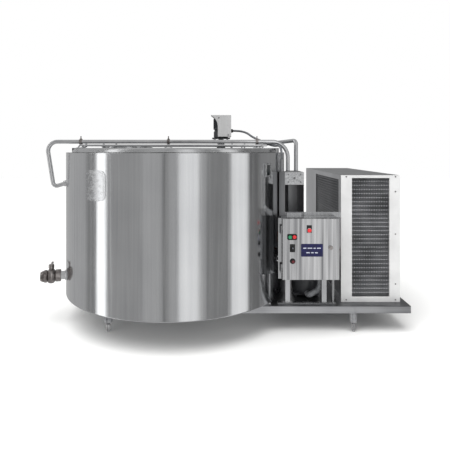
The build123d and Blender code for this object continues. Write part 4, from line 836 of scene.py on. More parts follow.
def lid_arms(side):
    """Curved hinge arms with their eyes, drawn in the plane of the lid's swing."""
    bm = bmesh.new()
    low = LID_TOP + 1.0
    line = rounded([(-(ROD_Y + 2), ROD_Z + 1, 0), (-(ROD_Y + 34), low + 5, 0), (-(ROD_Y + 96), low + 2, 0)],
                   [60.0], 8)
    for x in (-ARM_X, ARM_X):
        upper, lower = [], []
        for number, p in enumerate(line):
            half = 9.0 - 5.5 * number / (len(line) - 1)
            upper.append((p.x, p.y + half))
            lower.append((p.x, p.y - min(half, p.y - LID_TOP + 2)))
        place = Matrix.Translation((x - ARM_T / 2, 0, 0)) @ Matrix(((0, 0, 1, 0), (1, 0, 0, 0), (0, 1, 0, 0),
                                                                   (0, 0, 0, 1)))
        plate(bm, upper + lower[::-1], ARM_T, place)
        eye = Matrix.Translation((x, -ROD_Y, ROD_Z)) @ Matrix.Rotation(pi / 2, 4, "Y")
        half = ARM_T / 2 + 0.6
        lathe(bm, [(ROD_R + 0.1, -half), (EYE_R - 1, -half), (EYE_R, -half + 1), (EYE_R, half - 1),
                   (EYE_R - 1, half), (ROD_R + 0.1, half)], 40, eye, closed=True)
    if side > 0:
        bmesh.ops.scale(bm, vec=(1, -1, 1), verts=bm.verts)
    return bm


def grab_lip(side):
    """A folded lip on the rounded edge of the lid, to lift it by."""
    bm = bmesh.new()
    half_angle = 5.4
    section = rounded([(LID_R - 3, LID_Z0 + 7, 0), (LID_R + 19, LID_Z0 + 7, 0), (LID_R + 19, LID_Z0 + 1, 0)],
                      [4.0], 5)
    thick = [(p.x, p.y) for p in section] + [(p.x - 2.6, p.y - 2.6 * (k < 4)) for k, p in
                                             reversed(list(enumerate(section)))]
    steps = 20
    rows = []
    for k in range(steps + 1):
        a = radians(-90 - half_angle + 2 * half_angle * k / steps)
        rows.append([bm.verts.new((r * cos(a), r * sin(a), z)) for r, z in thick])
    for low, high in zip(rows, rows[1:]):
        for k in range(len(low)):
            bm.faces.new((low[k], low[(k + 1) % len(low)], high[(k + 1) % len(low)], high[k]))
    bm.faces.new(rows[0])
    bm.faces.new(rows[-1])
    if side > 0:
        bmesh.ops.scale(bm, vec=(1, -1, 1), verts=bm.verts)
    return bm


for name, side in (("front_lid", -1), ("rear_lid", 1)):
    finished(name + "_shell", lid_shell(side), lid_steel, name, nodes=[name], outwards=False)
    finished(name + "_arms", lid_arms(side), tube_steel, name, bevel=0.8)
    finished(name + "_grab_lip", grab_lip(side), lid_steel, name)
print("half lids swing about rods at y =", ROD_Y, "mm")

# %% [markdown]
# ## Pipes and rods
# Dairy pipe is bent cold round a former, so its corners are true arcs. The path is a line of
# points with rounded corners and the pipe is a round section carried along it.

# %% Pipes and rods
BOX_Z1 = 953.0


def bar_piece(name, path, radius, material, nodes=(), body="tank", sides=28):
    bm = bmesh.new()
    sweep(bm, path, radius, sides)
    return finished(name, bm, material, body, nodes, angle=50)


front_pipe = [CIP_MOUTH, PIPE_FOOT, (-824.0, PIPE_Y, PIPE_Z), (727.0, PIPE_Y, PIPE_Z),
              (727.0, PIPE_Y, BOX_Z1 - 45)]
bar_piece("front_pipe", rounded(front_pipe, [24, 60, 100], 14), PIPE_R, tube_steel,
          ["cip_tube"])
rear_pipe = [(540, 100, BRIDGE_TOP), (540, 100, BRIDGE_TOP + 22), (783, -180, 1151), (783, -180, BOX_Z1 - 45)]
bar_piece("rear_pipe", rounded(rear_pipe, [20, 22], 12), PIPE_R, tube_steel, ["rear_tube"])


def hinge_rods():
    bm = bmesh.new()
    for side in (-1, 1):
        place = Matrix.Translation((0, side * ROD_Y, ROD_Z)) @ Matrix.Rotation(pi / 2, 4, "Y")
        lathe(bm, [(0, -590), (5.2, -590), (ROD_R, -588.5), (ROD_R, 588.5), (5.2, 590), (0, 590)], 32, place)
    return finished("hinge_rod_pair", bm, tube_steel, nodes=["hinge_rods"])


hinge_rods()
refined("tube_clamps", fitting_chrome)
refined("tube_brackets", lid_steel, 0.6)
refined("spray_ball", tube_steel)
print("pipes ready")

# %% [markdown]
# ## Tank fittings that keep their measured shape
# Folded and machined pieces are already right in the frame. A merged copy takes a proper edge
# and a proper finish. Drawing them again would add nothing but the risk of a wrong size.

# %% Tank pieces from the frame
refined("inner_vessel", vessel_steel)
refined("insulation", foam_yellow)
refined("evaporator_plate", vessel_steel)
refined("top_ring", lid_steel)
refined("lid_gasket", gasket_rubber)
refined("bridge", lid_steel)
refined("agitator_shaft", tube_steel)
refined("agitator_paddle", vessel_steel, 0.6)
refined("agitator_pedestal", machine_grey, 0.8)
refined("cable_gland", control_black, 0.4)
refined("motor_hood", hood_steel, 0.5)


def inlet_cover():
    """A loose lid with a rolled rim and a raised middle."""
    bm = bmesh.new()
    top = BRIDGE_TOP + 13.0
    place = Matrix.Translation((-347.0, 0, 0))
    rim = rounded([(150, 0, top), (170, 0, top), (170, 0, BRIDGE_TOP + 1)], [5.0], 6)
    outside = [(0, top), (120, top), (126, top - 1.2), (140, top - 1.2), (146, top)]
    inside = [(168.2, BRIDGE_TOP + 1), (168.2, top - 4), (164, top - 2.4), (0, top - 2.4)]
    lathe(bm, outside + [(p.x, p.z) for p in rim] + inside, 128, place)
    return finished("inlet_cover_pressing", bm, lid_steel, "inlet_cover", nodes=["inlet_cover"])


inlet_cover()
print("tank pieces ready")

# %% Gear motor
MOTOR_R, GEARBOX_R, BODY_Z = 52.0, 50.0, 1173.0
FIN_COUNT, FIN_OUT = 28, 3.0


def gear_motor():
    """A round gearbox, a finned motor on it and a domed cap."""
    bm = bmesh.new()
    place = Matrix.Translation((AGI_X, 0, 0))
    z1 = BODY_Z + 62.0
    z2 = z1 + 75.0
    core = MOTOR_R - FIN_OUT
    lathe(bm, [(0, BODY_Z), (GEARBOX_R - 4, BODY_Z), (GEARBOX_R, BODY_Z + 4), (GEARBOX_R, z1 - 22),
               (GEARBOX_R - 5, z1 - 16), (GEARBOX_R - 5, z1 - 8), (MOTOR_R, z1 - 4), (MOTOR_R, z1 + 4),
               (core, z1 + 6), (core, z2 - 14), (MOTOR_R, z2 - 12), (MOTOR_R - 2, z2 - 5), (MOTOR_R - 10, z2),
               (0, z2)], 72, place)
    for k in range(FIN_COUNT):
        turn = place @ Matrix.Rotation(2 * pi * k / FIN_COUNT, 4, "Z")
        slab(bm, core - 2, MOTOR_R, -1.1, 1.1, z1 + 3, z2 - 11, turn)
    return finished("gear_motor", bm, machine_grey, nodes=["gearmotor"], bevel=0.3)


gear_motor()
print("motor fins:", FIN_COUNT)

# %% [markdown]
# ## Milk outlet
# The fittings are turned from bar, so each is a half outline spun about the outlet's axis. The
# nuts' grip slots could be cut with a Boolean, but pushing points of the spun wall inwards
# needs no cut and leaves no slivers.

# %% Outlet fittings
OUT_R, OUT_BORE = 25.4, 23.75
S1, S2, S3, S4 = R + 30.0, R + 66.0, R + 110.0, R + 153.0
TURN_OUT = Matrix.Rotation(OUTLET_ANGLE, 4, "Z") @ Matrix.Translation((0, 0, OUTLET_Z))
SPIN_OUT = TURN_OUT @ Matrix.Rotation(pi / 2, 4, "Y")


def outlet_turned(name, profile, nodes, material=fitting_chrome, steps=72):
    """profile: (distance from the tank's axis, radius) points of a closed ring."""
    bm = bmesh.new()
    lathe(bm, [(radius, distance) for distance, radius in profile], steps, SPIN_OUT, closed=True)
    return finished(name, bm, material, nodes=nodes, angle=28)


outlet_turned("outlet_stub", [(656, OUT_BORE), (656, OUT_R), (R + 1, OUT_R), (R + 1, OUT_R + 8),
                              (R + 3.5, OUT_R + 8), (R + 5, OUT_R + 6), (R + 6, OUT_R + 1), (S1 + 4, OUT_R),
                              (S1 + 4, OUT_BORE)], ["outlet_pipe"], tube_steel)


def nut_ring(s0, s1, radius, bore, slots, depth, nose=()):
    """A round nut: rounded shoulders and slots for a hook spanner."""
    bm = bmesh.new()
    profile = [(s0, bore), (s0, radius - 5), (s0 + 1.5, radius - 2), (s0 + 4, radius)]
    profile += [(s1 - 4, radius), (s1 - 1.5, radius - 2), (s1, radius - 5)]
    profile += nose or [(s1, bore)]
    lathe(bm, [(r, d) for d, r in profile], 144, Matrix(), closed=True)
    for v in bm.verts:
        around = atan2(v.co.y, v.co.x) % (2 * pi / slots)
        r = Vector((v.co.x, v.co.y)).length
        if r > radius - 6 and around < 0.20 and s0 + 6 < v.co.z + 3 < s1 + 3:
            v.co.x *= (r - depth) / r
            v.co.y *= (r - depth) / r
    bm.transform(SPIN_OUT)
    return bm


union = nut_ring(S1, S2 - 2, 38.0, OUT_R + 0.3, 6, 3.0)
end = nut_ring(S3 + 1.5, S3 + 22, 39.0, OUT_R + 6.2, 6, 3.0,
               [(S3 + 24, 35), (S4 - 12, 33), (S4 - 4, 28), (S4, OUT_R + 2), (S4, OUT_BORE),
                (S3 + 15, OUT_BORE), (S3 + 15, OUT_R + 6.2)])
for name, bm in (("union_nut", union), ("end_nut", end)):
    finished(name, bm, fitting_chrome, nodes=["outlet_nuts"], angle=28)
refined("valve_body", fitting_chrome, 0.4, 28)
refined("valve_disc", fitting_chrome, 0.0, 28)
refined("valve_handle", fitting_chrome, 0.8, 28)
print("outlet at z =", OUTLET_Z, "mm")

# %% [markdown]
# ## Badge and thermometer
# The badge is a blank pressed plate with a plain double rim. It follows the jacket's curve, so
# its flat outline is bent onto the wall point by point, which a flat plate could not match.

# %% Badge and thermometer
BADGE_ANGLE, BADGE_Z, BADGE_W, BADGE_H = radians(-122.7), 892.0, 160.0, 170.0


def on_wall(bm, angle, height, clear=0.0):
    """Bends a piece drawn flat in (across, up, out) millimetres round the jacket's wall."""
    for v in bm.verts:
        across, up, out = v.co
        a = angle + across / R
        r = R + clear + out
        v.co = (r * cos(a), r * sin(a), height + up)


def rim_band(bm, w, h, r, width, low, high):
    """A raised band that follows a rounded rectangle."""
    outer, inner = round_rect(w, h, r, 10), round_rect(w - 2 * width, h - 2 * width, max(2, r - width), 10)
    rows = []
    for (ox, oy), (ix, iy) in zip(outer, inner):
        crest = [(ox * 0.96 + ix * 0.04, oy * 0.96 + iy * 0.04, high),
                 (ix * 0.96 + ox * 0.04, iy * 0.96 + oy * 0.04, high)]
        rows.append([bm.verts.new(p) for p in ((ox, oy, low), *crest, (ix, iy, low))])
    for a, b in zip(rows, rows[1:] + rows[:1]):
        for k in range(4):
            bm.faces.new((a[k], a[(k + 1) % 4], b[(k + 1) % 4], b[k]))


def badge():
    bm = bmesh.new()
    columns, rows = 24, 24
    outline = round_rect(BADGE_W, BADGE_H, 40, 10)
    plate(bm, outline, 1.0, Matrix())
    bmesh.ops.bisect_plane(bm, geom=bm.verts[:] + bm.edges[:] + bm.faces[:], plane_co=(0, 0, 0),
                           plane_no=(1, 0, 0))
    for k in range(1, columns):
        x = -BADGE_W / 2 + BADGE_W * k / columns
        bmesh.ops.bisect_plane(bm, geom=bm.verts[:] + bm.edges[:] + bm.faces[:], plane_co=(x, 0, 0),
                               plane_no=(1, 0, 0))
    rim_band(bm, BADGE_W - 4, BADGE_H - 4, 38, 4.0, 0.9, 1.7)
    rim_band(bm, BADGE_W - 26, BADGE_H - 26, 28, 2.5, 0.9, 1.5)
    for k in range(3):
        width = (64, 84, 64)[k]
        rim_band(bm, width, 12, 6, 2.2, 0.9, 1.5)
        for v in bm.verts[-4 * 44:]:
            v.co.y += 28 - 28 * k
    on_wall(bm, BADGE_ANGLE, BADGE_Z, 0.3)
    return finished("badge_pressing", bm, lid_steel, nodes=["badge_plate"], angle=30)


THERMO_ANGLE, THERMO_Z = radians(-38.1), 970.0


def thermometer():
    place = Matrix.Rotation(THERMO_ANGLE, 4, "Z") @ facing(R + 0.3, 0, THERMO_Z, (1, 0, 0))
    bm = bmesh.new()
    outer, inner = round_rect(54, 82, 7, 6), round_rect(38, 58, 4, 6)
    rows = []
    for (ox, oy), (ix, iy) in zip(outer, inner):
        rows.append([bm.verts.new(place @ Vector(p)) for p in
                     ((ox, oy, 0), (ox, oy, 9.5), (ox * 0.95, oy * 0.96, 12), (ix * 1.04, iy * 1.03, 12),
                      (ix, iy, 9.6), (ix, iy, 6))])
    for a, b in zip(rows, rows[1:] + rows[:1]):
        for k in range(5):
            bm.faces.new((a[k], a[k + 1], b[k + 1], b[k]))
    bm.faces.new([row[0] for row in rows])
    finished("thermometer_case", bm, galvanised, nodes=["thermometer"])
    bm = bmesh.new()
    plate(bm, round_rect(37.6, 57.6, 4, 6), 1.6, place @ Matrix.Translation((0, 0, 6)))
    finished("thermometer_window", bm, display_dark, bevel=0.3)


badge()
thermometer()
print("badge and thermometer ready")

# %% [markdown]
# ## Skid and feet
# The skid is welded from channel; its measured shape only needs its edges broken. The feet are
# turned studs with a tapered tip, and their threads show between socket and tip.

# %% Skid, deck and feet
FEET = ((-377.0, -390.0, 15.0), (-377.0, 390.0, 15.0), (1094.0, -390.0, 12.0), (620.0, 600.0, 12.0),
        (1360.0, 810.0, 12.0))
FOOT_LOW = 54.0
refined("skid_frame", skid_steel, 1.0)
refined("deck_plate", deck_steel, 0.8)


def feet():
    bm = bmesh.new()
    for x, y, r in FEET:
        place = Matrix.Translation((x, y, 0))
        profile = [(0, 0), (r * 0.55, 0), (r * 0.7, 3), (r * 0.92, 10), (r, 16), (r, FOOT_LOW - 12),
                   (r * 0.86, FOOT_LOW - 8), (r * 0.74, FOOT_LOW - 6)]
        z = FOOT_LOW - 6
        while z < FOOT_LOW:
            profile += [(r * 0.66, z + 0.6), (r * 0.74, z + 1.6)]
            z += 2.0
        profile += [(r * 0.74, 124), (0, 124)]
        lathe(bm, profile, 40, place)
    return finished("threaded_feet", bm, bolt_steel, nodes=["adjustable_feet"], angle=30)


feet()
print("feet:", len(FEET))

# %% [markdown]
# ## Condensing unit
# The coil is a pack of thin upright fins on rows of level tubes. Fins, tubes and the louvre's
# slats are rows, so the row tree sets them out at their real pitch.

# %% Cabinet sheets
refined("cabinet", cabinet_steel, 0.8)
refined("front_frame", face_enamel, 0.6)
refined("fan_shroud", fan_black)
refined("fan_motors", machine_grey)
refined("lower_fan", fan_black)
refined("upper_fan", fan_black)
print("cabinet sheets ready")

# %% Coil
ROW_PITCH = 25.4
FIN_PITCH = 7.6          # real fins stand 2 mm apart; drawn coarser so that single fins show
COIL_Y0 = CAB_Y0 + 18.0
COIL_D = 44.0
rows = int((COIL_Z1 - COIL_Z0) / ROW_PITCH)
first_row = (COIL_Z0 + COIL_Z1 - (rows - 1) * ROW_PITCH) / 2


def coil_part(name, template_piece, count, start, step, material):
    mesh = grown(name, ROW, Piece=template_piece, Count=count, Start=mm(*start),
                 Step=[s / 1000 for s in step], Finish=material)
    bpy.data.objects.remove(template_piece)
    return dress(name, mesh, material, "tank", ["condenser_coil"])


def coil():
    bm = bmesh.new()
    slab(bm, COIL_X0 - 20, COIL_X1 + 20, COIL_Y0 + 9, COIL_Y0 + COIL_D, COIL_Z0 - 4, COIL_Z1 + 4)
    finished("coil_core", bm, fin_metal, nodes=["condenser_coil"], bevel=0.5)
    bm = bmesh.new()
    depth, height = 9.5, COIL_Z1 - COIL_Z0
    waves = rows * 2
    outline = [(0, 0)] + [(-depth + (1.6 if k % 2 else 0.0), height * k / waves) for k in range(waves + 1)]
    outline.append((0, height))
    place = Matrix(((0, 0, 1, 0), (1, 0, 0, 0), (0, 1, 0, 0), (0, 0, 0, 1)))
    plate(bm, outline, 0.5, place)
    fin = template("fin", bm)
    count = int((COIL_X1 - COIL_X0 + 30) / FIN_PITCH)
    coil_part("coil_fins", fin, count, (COIL_X0 - 14, COIL_Y0 + 9.5, COIL_Z0), (FIN_PITCH, 0, 0), fin_metal)
    bm = bmesh.new()
    turn = Matrix.Rotation(pi / 2, 4, "Y")
    lathe(bm, [(0, 0), (4.6, 0), (4.6, COIL_X1 - COIL_X0 + 50), (0, COIL_X1 - COIL_X0 + 50)], 12, turn)
    tube = template("coil_tube", bm)
    coil_part("coil_tubes", tube, rows, (COIL_X0 - 25, COIL_Y0 + 5.0, first_row), (0, 0, ROW_PITCH),
              fin_metal)
    bm = bmesh.new()
    lathe(bm, [(4.6, -1.6), (5.8, -1.6), (6.1, 0), (5.8, 1.6), (4.6, 1.6)], 10, turn, closed=True)
    collar = template("fin_collar", bm)
    points = [(COIL_X0 + 6 + 2 * FIN_PITCH * i, COIL_Y0 + 5.0, first_row + ROW_PITCH * k)
              for i in range(int((COIL_X1 - COIL_X0) / (2 * FIN_PITCH))) for k in range(rows)]
    mesh = grown("coil_collars", SPOTS, points, Piece=collar, Size=1.0, Finish=fin_edge)
    bpy.data.objects.remove(collar)
    dress("coil_collars", mesh, fin_edge, "tank", [])


coil()
print("coil rows:", rows)

# %% Louvre
SLATS = 42


def louvre():
    x0, x1 = CAB_X0 + 2.3, CAB_X0 + 12.3
    z0, z1 = DECK_Z + 28.0, CAB_Z1 - 28.0
    bm = bmesh.new()
    tall, between_stiles = (z0 - 12, z1 + 12), (SIDE_Y0 + 2, SIDE_Y1 - 2)
    for a, b in (((SIDE_Y0 - 12, SIDE_Y0 + 2), tall), ((SIDE_Y1 - 2, SIDE_Y1 + 12), tall),
                 (between_stiles, (z0 - 12, z0 + 2)), (between_stiles, (z1 - 2, z1 + 12))):
        slab(bm, x0, x1, *a, *b)
    finished("louvre_frame", bm, cabinet_steel, nodes=["side_louvre"], bevel=0.5)
    bm = bmesh.new()
    curve = rounded([(-4.6, -8.6, 0), (-3.8, -5.0, 0), (3.8, 5.0, 0), (4.6, 8.6, 0)], [6.0, 6.0], 4)
    upper = [(p.x - 0.4, p.y + 0.5) for p in curve]
    lower = [(p.x + 0.4, p.y - 0.5) for p in reversed(curve)]
    place = Matrix(((1, 0, 0, 0), (0, 0, 1, SIDE_Y0 + 1), (0, 1, 0, 0), (0, 0, 0, 1)))
    plate(bm, upper + lower, SIDE_Y1 - SIDE_Y0 - 2, place)
    slat = template("slat", bm)
    pitch = (z1 - z0) / SLATS
    mesh = grown("louvre_slats", ROW, Piece=slat, Count=SLATS, Start=mm((x0 + x1) / 2, 0, z0 + pitch / 2),
                 Step=(0, 0, pitch / 1000), Finish=slat_steel)
    bpy.data.objects.remove(slat)
    dress("louvre_slats", mesh, slat_steel, "tank", [])


louvre()
print("louvre slats:", SLATS)

# %% [markdown]
# ## Screws
# Dome screws hold the face, the box cover and the hood. One head is drawn for each way that
# screws point, and the point tree puts it on every hole with a slightly different turn.

# %% Screws


def head(radius, height, way, hexagon=False):
    """A dome head with a small round recess, or a hexagon head, standing on its face."""
    bm = bmesh.new()
    place = facing(0, 0, 0, way)
    if hexagon:
        lathe(bm, [(0, 0), (radius, 0), (radius, height - 1), (radius - 1, height), (0, height)], 6, place)
    else:
        arc = [(radius * cos(radians(a)), height * 0.35 + height * 0.65 * sin(radians(a)))
               for a in range(0, 81, 16)]
        lathe(bm, [(0, 0), (radius, 0)] + arc + [(radius * 0.2, height), (radius * 0.16, height * 0.7),
                                                 (0, height * 0.7)], 20, place)
    return template("head", bm)


def screws(name, points, radius, height, way, hexagon=False, material=bolt_steel):
    piece = head(radius, height, way, hexagon)
    mesh = grown(name, SPOTS, points, Piece=piece, Size=1.0, Most_turn=6.28, Seed=7, Way=way, Finish=material)
    bpy.data.objects.remove(piece)
    return dress(name, mesh, material, "tank", ["fasteners"])


LEFT_X, RIGHT_X = CAB_X0 + 32, CAB_X1 - 28
face_points = [(x, CAB_Y0, z) for z in (DECK_Z + 14, CAB_Z1 - 9) for x in (LEFT_X, RIGHT_X)]
face_points += [(RIGHT_X, CAB_Y0, z) for z in (DECK_Z + 110, DECK_Z + 415, CAB_Z1 - 100)]
screws("face_screws", face_points, 4.5, 2.5, (0, -1, 0), material=screw_grey)
COVER_Y = -342.5
screws("cover_screws", [(x, COVER_Y, BOX_Z1 - d) for x in (712, 785) for d in (14, 60)], 4.0, 2.5, (0, -1, 0),
       material=screw_grey)
screws("cover_bolt", [(748, COVER_Y, BOX_Z1 - 37)], 7.0, 5.0, (0, -1, 0), True, screw_grey)
for name, y in (("hood_screws_front", -72.0), ("hood_screws_rear", 72.0)):
    screws(name, [(AGI_X - 14, y, HOOD_Z + HOOD_H - 18), (AGI_X + 50, y, HOOD_Z + 12)], 6.0, 3.0,
           (0, y / 72, 0))
screws("flange_bolts", [(AGI_X + x, y, 1165) for x in (-44, 44) for y in (-42, 42)], 7.0, 7.0,
       (0, 0, -1), True)


def hinge_pins():
    bm = bmesh.new()
    for z in (400.0, 624.0):
        place = Matrix.Translation((651, -474, 0))
        lathe(bm, [(0, z - 25), (2.4, z - 25), (3, z - 24), (3, z + 23), (2.4, z + 24), (0, z + 24)], 24,
              place)
    return finished("panel_hinge_pins", bm, bolt_steel, nodes=["fasteners"])


hinge_pins()
print("screws ready")

# %% [markdown]
# ## Control panel
# The door carries 22 mm control gear, each with a round barrel through the sheet, and a blue
# plate with two rows of plain bars. Control gear is turned stock, so it is spun like the
# outlet, and each moving cap rides on its own body so that it can be pressed or turned.

# %% Enclosure and door
refined("enclosure", panel_steel, 0.8)
refined("panel_door", panel_steel, 0.8)
refined("control_gear", relay_grey, 0.8)
refined("panel_stand", post_steel, 0.8)
refined("connection_box", box_steel, 0.6)
refined("box_cover", galvanised, 0.4)
print("panel sheets ready")

# %% Controls
OUT_OF_DOOR = (0, -1, 0)


def control(name, shapes, material, body, nodes, angle=35, bevel=0.0):
    """Pieces turned about a control's axis. Each shape is (x, z, profile) in front of the door."""
    bm = bmesh.new()
    for x, z, profile in shapes:
        lathe(bm, profile, 48, facing(x, DOOR_Y, z, OUT_OF_DOOR))
    return finished(name, bm, material, body, nodes, angle, bevel)


def legend(name, x, z, w, h, thick, corner, nodes, holes=()):
    """A black plate behind a control, with its raised edge."""
    bm = bmesh.new()
    plate(bm, round_rect(w, h, corner), thick, facing(x, DOOR_Y, z, OUT_OF_DOOR))
    rim_band_at = bmesh.new()
    rim_band(rim_band_at, w, h, corner, 1.6, thick - 0.1, thick + 0.6)
    rim_band_at.transform(facing(x, DOOR_Y, z, OUT_OF_DOOR))
    mesh = bpy.data.meshes.new("rim")
    rim_band_at.to_mesh(mesh)
    bm.from_mesh(mesh)
    rim_band_at.free()
    for hx, hz, r, deep in holes:
        lathe(bm, [(0, -deep), (r, -deep), (r, 0), (0, 0)], 32, facing(hx, DOOR_Y, hz, OUT_OF_DOOR))
    return finished(name, bm, control_black, "door", nodes, bevel=0.4)


BARREL = 30.0
# places on the door, across and up
LAMP, BUTTONS = (812.0, 622.0), (712.5, 584.0)
SELECTOR, KNOB, LOCK = (714.5, 515.0), (715.5, 443.5), (936.0, 522.0)
legend("lamp_block", LAMP[0], LAMP[1] + 8, 30, 44, 2.0, 3, ["pilot_lamp"], [(*LAMP, 11, BARREL)])
RING = [(0, 1.5), (14.5, 1.5), (14.5, 5), (13, 6), (0, 6)]
LENS = [(0, 5.5), (12, 5.5), (12, 9), (11, 11.5), (8, 12.6), (4, 13), (0, 13)]
control("lamp_ring", [(*LAMP, RING)], bolt_steel, "door", ["pilot_lamp"])
control("lamp_lens", [(*LAMP, LENS)], lens_red, "door", ["pilot_lamp"], 50)


def button_bezel():
    x, z = BUTTONS
    bm = bmesh.new()
    place = facing(x, DOOR_Y, z, OUT_OF_DOOR)
    outline = round_rect(56, 34, 8, 8)
    plate(bm, outline, 2.0, place)
    shell = bmesh.new()
    rim_band(shell, 56, 34, 8, 4.0, 1.9, 7.0)
    shell.transform(place)
    mesh = bpy.data.meshes.new("shell")
    shell.to_mesh(mesh)
    shell.free()
    bm.from_mesh(mesh)
    for side in (-13, 13):
        button = facing(x + side, DOOR_Y, z, OUT_OF_DOOR)
        lathe(bm, [(11.2, 1.9), (12.8, 1.9), (12.8, 6.4), (11.2, 6.4)], 48, button, closed=True)
        lathe(bm, [(8, -BARREL), (11, -BARREL), (11, 0.5), (8, 0.5)], 32, button, closed=True)
    return finished("twin_button_bezel", bm, control_black, "door", ["control_bezels"],
                    bevel=0.4)


button_bezel()
legend("selector_plate", SELECTOR[0], SELECTOR[1] + 4, 30, 46, 2.0, 3, ["control_bezels"],
       [(*SELECTOR, 11, BARREL)])
# the cap stands 3.3 mm clear of the plate, so that a 3 mm press leaves it free
CAP = [(0, -23), (5.6, -23), (5.6, 5.3), (10.9, 5.3), (10.9, 9.4), (10.2, 10.6), (8.5, 11), (7, 10.7),
       (0, 10.4)]
for name, side, material, slot in (("start_button", -13, cap_green, "button_green"),
                                   ("stop_button", 13, cap_red, "lamp_red")):
    control(name + "_cap", [(BUTTONS[0] + side, BUTTONS[1], CAP)], material, name, [name], 40)


def selector():
    x, z = SELECTOR
    place = facing(x, DOOR_Y, z, OUT_OF_DOOR)
    bm = bmesh.new()
    lathe(bm, [(0, -22), (5.9, -22), (5.9, 2.4), (12, 2.4), (12, 7), (11, 8.2), (0, 8.2)], 48, place)
    grip = [(-4, -11), (4, -11), (4.6, 0), (4, 9), (0, 12), (-4, 9), (-4.6, 0)]
    plate(bm, grip, 10.0, place @ Matrix.Translation((0, 0, 8.0)))
    finished("selector_lever", bm, control_black, "selector", ["selector_switch"], bevel=0.8)
    bm = bmesh.new()
    plate(bm, [(-0.9, 2), (0.9, 2), (0.9, 10), (-0.9, 10)], 0.4, place @ Matrix.Translation((0, 0, 17.9)))
    finished("selector_mark", bm, plate_white, "selector")


def knob():
    x, z = KNOB
    place = facing(x, DOOR_Y, z, OUT_OF_DOOR)
    bm = bmesh.new()
    ribs, steps = 24, 96
    heights = ((0.5, 16, 0), (2.5, 16, 0), (5.4, 14.5, 0), (5.6, 12.4, 1), (16, 11.6, 1), (17.6, 10.4, 0),
               (18, 9, 0))
    rings = []
    for height, radius, ribbed in heights:
        ring = []
        for k in range(steps):
            r = radius - 0.7 * ribbed * (k * ribs % steps < steps / 2)
            a = 2 * pi * k / steps
            ring.append(bm.verts.new(place @ Vector((r * cos(a), r * sin(a), height))))
        rings.append(ring)
    for low, high in zip(rings, rings[1:]):
        for k in range(steps):
            bm.faces.new((low[k], low[(k + 1) % steps], high[(k + 1) % steps], high[k]))
    bm.faces.new(rings[-1])
    bm.faces.new(list(reversed(rings[0])))
    lathe(bm, [(0, -24), (10.9, -24), (10.9, 1), (0, 1)], 48, place)
    finished("knob_grip", bm, control_black, "knob", ["control_knob"])
    bm = bmesh.new()
    lathe(bm, [(0, 17.8), (8.4, 17.8), (8.4, 18.3), (7.6, 18.8), (0, 19.0)], 40, place)
    finished("knob_cap", bm, knob_red, "knob")


def door_lock():
    x, z = LOCK
    place = facing(x, DOOR_Y, z, OUT_OF_DOOR)
    bm = bmesh.new()
    lathe(bm, [(0, -13), (9.2, -13), (9.2, 0.4), (13, 0.4), (13, 4), (11.6, 5.4), (9.4, 5.4), (9.0, 8.6),
               (8.2, 9.3), (4.5, 9.3), (4.5, 6), (0, 6)], 48, place)
    slab(bm, -1.2, 1.2, -4.4, 4.4, 5.5, 8.6, place)
    slab(bm, -7, 45, -8, 8, -12, -9, place)
    return finished("quarter_turn_lock", bm, fitting_chrome, "lock", ["door_lock"],
                    bevel=0.3)


def blue_plate():
    x, z, w, h = 827.5, 507.0, 126.0, 74.0
    place = facing(x, DOOR_Y, z, OUT_OF_DOOR)
    bm = bmesh.new()
    plate(bm, round_rect(w, h, 4), 1.5, place)
    finished("blue_plate", bm, plate_blue, "door", ["name_plate"], bevel=0.4)
    bm = bmesh.new()
    for row, widths in ((12, (22, 30, 16, 26)), (-14, (24, 18, 20))):
        left = -(sum(widths) + 4 * (len(widths) - 1)) / 2
        for width in widths:
            plate(bm, round_rect(width - 3, 6, 2), 0.35,
                  place @ Matrix.Translation((left + width / 2, row, 1.45)))
            left += width + 4
    finished("plate_bars", bm, plate_white, "door")


selector()
knob()
door_lock()
blue_plate()
print("controls ready")

# %% [markdown]
# ## Refrigeration on the deck
# A welded compressor shell, a receiver, copper lines and an insulated suction hose. The shell
# is spun in two halves with a proud weld band between them, as pressed shells are joined. The
# hose is one swept section whose radius swells at every rib, so that its bends stay smooth.

# %% Compressor and lines
COMP, COMP_R, COMP_H = (838.0, -185.0), 84.0, 280.0


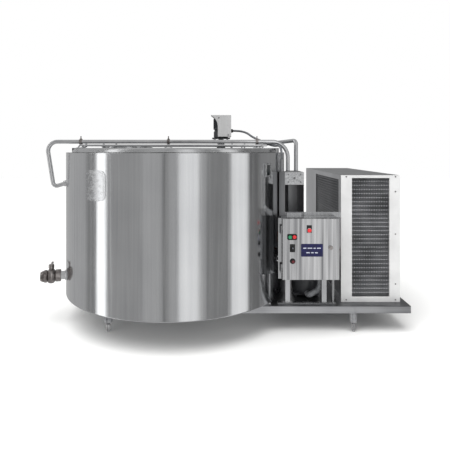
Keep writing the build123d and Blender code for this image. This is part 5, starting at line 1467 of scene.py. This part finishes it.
def compressor():
    x, y = COMP
    z0 = DECK_Z + 12.0
    z1 = z0 + COMP_H
    bm = bmesh.new()
    place = Matrix.Translation((x, y, 0))
    body = rounded([(0, 0, z0), (COMP_R, 0, z0), (COMP_R, 0, z1), (0, 0, z1)], [38.0, 42.0], 10)
    low = [(p.x, p.z) for p in body if p.z < z0 + 120]
    high = [(p.x, p.z) for p in body if p.z > z0 + 145]
    weld = [(COMP_R, z0 + 124), (COMP_R + 3, z0 + 127), (COMP_R + 3, z0 + 136), (COMP_R, z0 + 139)]
    lathe(bm, low + weld + high, 80, place)
    slab(bm, -80, 80, -50, 50, z0 - 4, z0 + 12, place)
    lathe(bm, [(0, z1 - 5), (12, z1 - 5), (12, z1 + 5), (8, z1 + 7), (8, z1 + 12), (0, z1 + 12)], 6,
          Matrix.Translation((x, y + 30, 0)))
    for sx in (-65, 65):
        for sy in (-38, 38):
            lathe(bm, [(0, DECK_Z), (11, DECK_Z), (11, z0 - 4), (0, z0 - 4)], 24,
                  Matrix.Translation((x + sx, y + sy, 0)))
    lathe(bm, [(0, -4), (10, -4), (10, 10), (0, 10)], 24, facing(x, y - COMP_R, DECK_Z + 34, (0, -1, 0)))
    return finished("compressor_shell", bm, compressor_black, nodes=["compressor"],
                    bevel=0.6)


def ribbed_hose():
    """Corrugated insulation over the suction line: the radius swells at every rib."""
    x, y = COMP
    z = DECK_Z + 34
    points = [SUCTION_MOUTH, (x + 72, -318.0, 420.0), (x + 72, -318.0, z + 40), (x, -318.0, z),
              (x, y - COMP_R - 10.3, z)]
    path = rounded(points, [45, 60, 24], 40)
    even, left = [path[0]], 0.0
    pitch = 2.6
    for a, b in zip(path, path[1:]):
        length = (b - a).length
        while left + pitch <= length:
            left += pitch
            even.append(a.lerp(b, left / length))
        left -= length
    even.append(path[-1])
    bm = bmesh.new()
    sweep(bm, even, 18.0, 24, lambda i: 1.0 if i % 3 else 0.9)
    return finished("suction_hose", bm, conduit_grey, nodes=["suction_line"], angle=70)


compressor()
ribbed_hose()
TOP = DECK_Z + 12 + COMP_H + 12
LINE_Y, LINE_X = 620.0, CAB_X0 - 0.3
hot_gas = [(COMP[0], COMP[1] + 30, TOP), (COMP[0], COMP[1] + 30, TOP + 70), (COMP[0], LINE_Y, TOP + 70),
           (LINE_X, LINE_Y, TOP + 70)]
bar_piece("discharge_pipe", rounded(hot_gas, [30, 30], 12), 6.0, copper, ["refrigerant_lines"])
bar_piece("liquid_pipe", [LIQUID_MOUTH, (LINE_X, -300.0, 470.0)], 5.0, copper,
          ["refrigerant_lines"])
refined("liquid_receiver", compressor_black, 0.6)
print("refrigeration ready")
